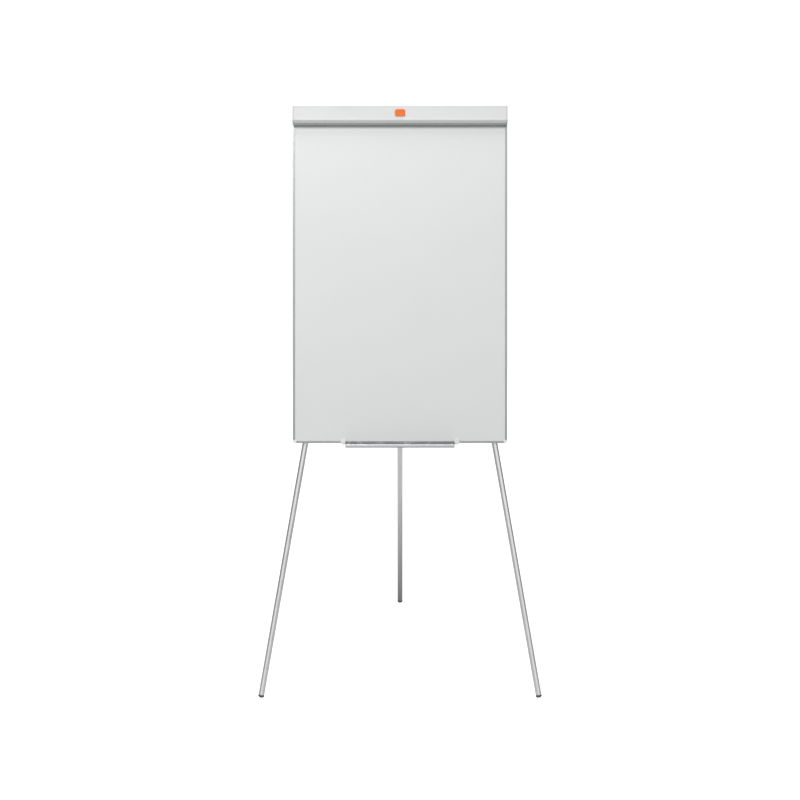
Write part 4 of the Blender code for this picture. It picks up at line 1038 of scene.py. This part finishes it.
# The rear leg's tubes take their own, brighter copy of the leg aluminium, with painted shade that darkens
# its colour towards the foot.
rear_tube_painted_shade, rear_shader = drawn_tube("rear_leg_tube_painted_shade", (0.98, 0.985, 0.99), (0.95, 0.955, 0.965))
rear_foot_z = local_box(LEGS["rear"], "rear_lower_tube")[0].z
painted_shade_below(rear_tube_painted_shade, rear_shader, rear_foot_z + 0.50, rear_foot_z, (0.40, 0.405, 0.41))
foot_rubber = tip_rubber()
bush_plastic = moulded("bush_plastic", (0.72, 0.72, 0.70), 0.45)


def tube(leg, node):
    """A cut length of tube with its ends deburred."""
    low, high = local_box(LEGS[leg], node)
    radius, ease = high.x, 0.00025
    inner = radius - 0.0012
    profile = [(inner, high.z - ease), (inner + ease, high.z), (radius - ease, high.z)]
    profile += [(radius, high.z - ease), (radius, low.z + ease), (radius - ease, low.z)]
    profile += [(inner + ease, low.z), (inner, low.z + ease), (inner, high.z - ease)]
    mesh = lathe(node, profile, sides=72)
    body = f"{leg}_upper_leg" if "upper" in node else f"{leg}_lower_leg"
    look = rear_tube_painted_shade if leg == "rear" else leg_tube
    place_piece(f"{node}_finished", mesh, LEGS[leg], body, look, "leg_aluminium", node)


def knuckle(leg, axis):
    """A barrel on the pivot, a stem that plugs the tube, and on the rear leg the heel that stops it."""
    node = f"{leg}_knuckle"
    low, high = local_box(LEGS[leg], node)
    along = "xyz".index(axis)
    half = high[along]
    tube_end = local_box(LEGS[leg], f"{leg}_upper_tube")[1]
    barrel_radius, stem, seat, ease = 0.0110, tube_end.x, tube_end.z + 0.0003, 0.0008
    barrel = [(0, half), (barrel_radius - ease, half), (barrel_radius, half - ease)]
    barrel += [(barrel_radius, ease - half), (barrel_radius - ease, -half), (0, -half)]
    body = lathe(node, barrel, axis, sides=72)
    plug = stem - 0.0015
    neck = [(0, -0.002), (stem - 0.0024, -0.0050), (stem, -0.0085), (stem, seat + 0.0008)]
    neck += [(stem - 0.0004, seat), (plug, seat), (plug, low.z + 0.002), (plug - 0.0020, low.z), (0, low.z)]
    parts = [lathe("neck", neck, sides=72)]
    if leg == "rear":
        inward = LEGS[leg].inverted().to_3x3() @ (BOARD.to_3x3() @ Vector((0, -1, 0)))
        upward = LEGS[leg].inverted().to_3x3() @ (BOARD.to_3x3() @ Vector((0, 0, 1)))
        shape = [(0.0166, 0.0020), (0.0166, 0.0120), (0.0120, 0.0150), (0.0, 0.0110), (0.0, 0.0)]
        heel = [inward * a + upward * b for a, b in shape]
        outline = [(p.y, p.z) for p in heel]
        parts.append(stretch_outline("heel", outline, -half + 0.0004, half - 0.0004, "x"))
    body = shape_with(body, "UNION", *parts)
    bore = [(0, half + 0.001), (0.0043, half + 0.001), (0.0043, -half - 0.001), (0, -half - 0.001)]
    body = shape_with(body, "DIFFERENCE", lathe("bore", bore, axis, sides=48))
    body_name = f"{leg}_upper_leg"
    place_piece(f"{node}_finished", body, LEGS[leg], body_name, black_plastic, "black_plastic", node)


def lock_collar(leg):
    """A sleeve with two grip grooves and a boss for the lock screw."""
    node = f"{leg}_lock_collar"
    low, high = local_box(LEGS[leg], node)
    lock = local_box(LEGS[leg], f"{leg}_lock_screw")
    lock_z = (lock[0].z + lock[1].z) / 2
    radius = high.x
    seat = local_box(LEGS[leg], f"{leg}_upper_tube")[1].x + 0.0002
    slide = local_box(LEGS[leg], f"{leg}_lower_tube")[1].x + 0.0003
    tube_end = local_box(LEGS[leg], f"{leg}_upper_tube")[0].z - 0.0003
    round_end = 0.0034
    profile = [(seat, high.z), (radius - round_end, high.z)]
    profile += arc((radius - round_end, high.z - round_end), round_end, 90, 0, 6)
    for groove in (high.z - 0.012, high.z - 0.018):
        profile += [(radius, groove + 0.0012), (radius - 0.0008, groove + 0.0006)]
        profile += [(radius - 0.0008, groove - 0.0006), (radius, groove - 0.0012)]
    profile += arc((radius - round_end, low.z + round_end), round_end, 0, -90, 6)
    profile += [(slide, low.z), (slide, tube_end), (seat, tube_end), (seat, high.z)]
    sleeve = lathe(node, profile, sides=72)
    boss_end = high.y
    boss = [(0, boss_end), (0.0078, boss_end), (0.0085, boss_end - 0.0007), (0.0085, 0.012), (0, 0.012)]
    sleeve = shape_with(sleeve, "UNION", lathe("boss", boss, "y", (0, 0, lock_z), 56))
    bore = [(0, boss_end + 0.001), (0.0033, boss_end + 0.001), (0.0033, 0.002), (0, 0.002)]
    sleeve = shape_with(sleeve, "DIFFERENCE", lathe("bore", bore, "y", (0, 0, lock_z), 40))
    body = f"{leg}_upper_leg"
    place_piece(f"{node}_finished", sleeve, LEGS[leg], body, black_plastic, "black_plastic", node)


def lock_knob(leg):
    """Five soft lobes with a raised round cap, and a hub towards the collar."""
    node = f"{leg}_lock_knob"
    low, high = local_box(LEGS[leg], node)
    lock = local_box(LEGS[leg], f"{leg}_lock_screw")
    lock_z = (lock[0].z + lock[1].z) / 2
    full, dip, hub_length = high.x, 0.0032, 0.0011
    front, rear, lobes, steps = low.y + hub_length, high.y, 5, 90
    ease = 0.0022
    turns = (0.4, 0.8, 1.2, math.pi / 2)
    inset_at = [ease - ease * math.sin(t) for t in turns]
    rise_at = [ease - ease * math.cos(t) for t in turns]
    rows = [(0.004, front), (ease, front)]
    rows += [(inset, front + rise) for inset, rise in zip(inset_at, rise_at)]
    rows += [(inset, rear - rise) for inset, rise in zip(inset_at[::-1], rise_at[::-1])]
    cap = [(0.0056, rear - 0.0006), (0.0062, rear - 0.0006), (0.0066, rear), (0.0125, rear - 0.0002)]
    rows += [(ease, rear), (0.0050, rear)] + cap
    rings = []
    for inset, depth in rows:
        ring = []
        for i in range(steps):
            angle = 2 * math.pi * i / steps
            reach = full - inset - dip * (1 - math.cos(lobes * angle)) / 2 * max(0.0, 1 - inset / 0.008)
            ring.append((reach * math.cos(angle), depth, lock_z + reach * math.sin(angle)))
        rings.append(ring)
    hub = [(0, front + 0.002), (0.0075, front + 0.002), (0.0075, low.y + 0.0003)]
    hub += [(0.0072, low.y), (0, low.y)]
    mesh = shape_with(skin(node, rings), "UNION", lathe("hub", hub, "y", (0, 0, lock_z), 48))
    place_piece(f"{node}_finished", mesh, LEGS[leg], f"{leg}_lock", black_plastic, "black_plastic", node)


def foot(leg):
    """A rubber tip with a shallow groove round it. Its domed sole is flattened where it stands."""
    node = f"{leg}_foot"
    high = local_box(LEGS[leg], node)[1]
    tube_low, tube_high = local_box(LEGS[leg], f"{leg}_lower_tube")
    radius, shoulder = tube_high.x + 0.0002, tube_low.z - 0.0003
    inner = tube_high.x - 0.0015
    dome = 0.014
    sole = LEGS[leg].inverted() @ Vector((0, 0, 0))
    floor_up = LEGS[leg].inverted().to_3x3() @ Vector((0, 0, 1))
    rim = math.degrees(math.asin(radius / dome))
    centre = shoulder - 0.005 + dome * math.cos(math.radians(rim))
    ring = shoulder - 0.0022
    profile = [(0, high.z), (inner, high.z), (inner, shoulder)]
    profile += [(radius - 0.0006, shoulder), (radius, shoulder - 0.0006)]
    profile += [(radius, ring + 0.0004), (radius - 0.0004, ring), (radius, ring - 0.0004)]
    profile += [(radius, shoulder - 0.0044)] + arc((0, centre), dome, rim - 91.5, -90, 14)
    profile[-1] = (0, centre - dome)
    mesh = lathe(node, profile, sides=64)
    drawn = bmesh.new()
    drawn.from_mesh(mesh)
    whole = drawn.verts[:] + drawn.edges[:] + drawn.faces[:]
    floor = {"plane_co": sole, "plane_no": -floor_up}
    bmesh.ops.bisect_plane(drawn, geom=whole, clear_outer=True, dist=1e-7, **floor)
    bmesh.ops.holes_fill(drawn, edges=[e for e in drawn.edges if e.is_boundary])
    drawn.to_mesh(mesh)
    drawn.free()
    place_piece(f"{node}_finished", mesh, LEGS[leg], f"{leg}_lower_leg", foot_rubber, "foot_rubber", node)


for leg, pivot_axis in (("left", "y"), ("right", "y"), ("rear", "x")):
    knuckle(leg, pivot_axis)
    tube(leg, f"{leg}_upper_tube")
    lock_collar(leg)
    lock_knob(leg)
    pin(f"{leg}_lock_screw", "y", LEGS[leg], f"{leg}_lock")
    tube(leg, f"{leg}_lower_tube")
    dress(f"{leg}_guide_bush", bush_plastic)
    foot(leg)

# ---------------------------------------------------------------- leg keepers
# Black moulded hooks screwed to the board's back near its bottom corners. A spread front leg lies in each.
for side in ("left", "right"):
    node = f"leg_keeper_{side}"
    refine(node, LEGS[side], "board", black_plastic, "black_plastic", 0.0005, 3)
    keeper_low, keeper_high = local_box(LEGS[side], node)
    middle = (keeper_low.z + keeper_high.z) / 2
    for i, along in enumerate((-0.016, 0.016)):
        spot = (0, keeper_low.y + 0.0029, middle + along)
        screw(f"keeper_screw_{side}_{i + 1}", LEGS[side], spot, 15 + 50 * i)
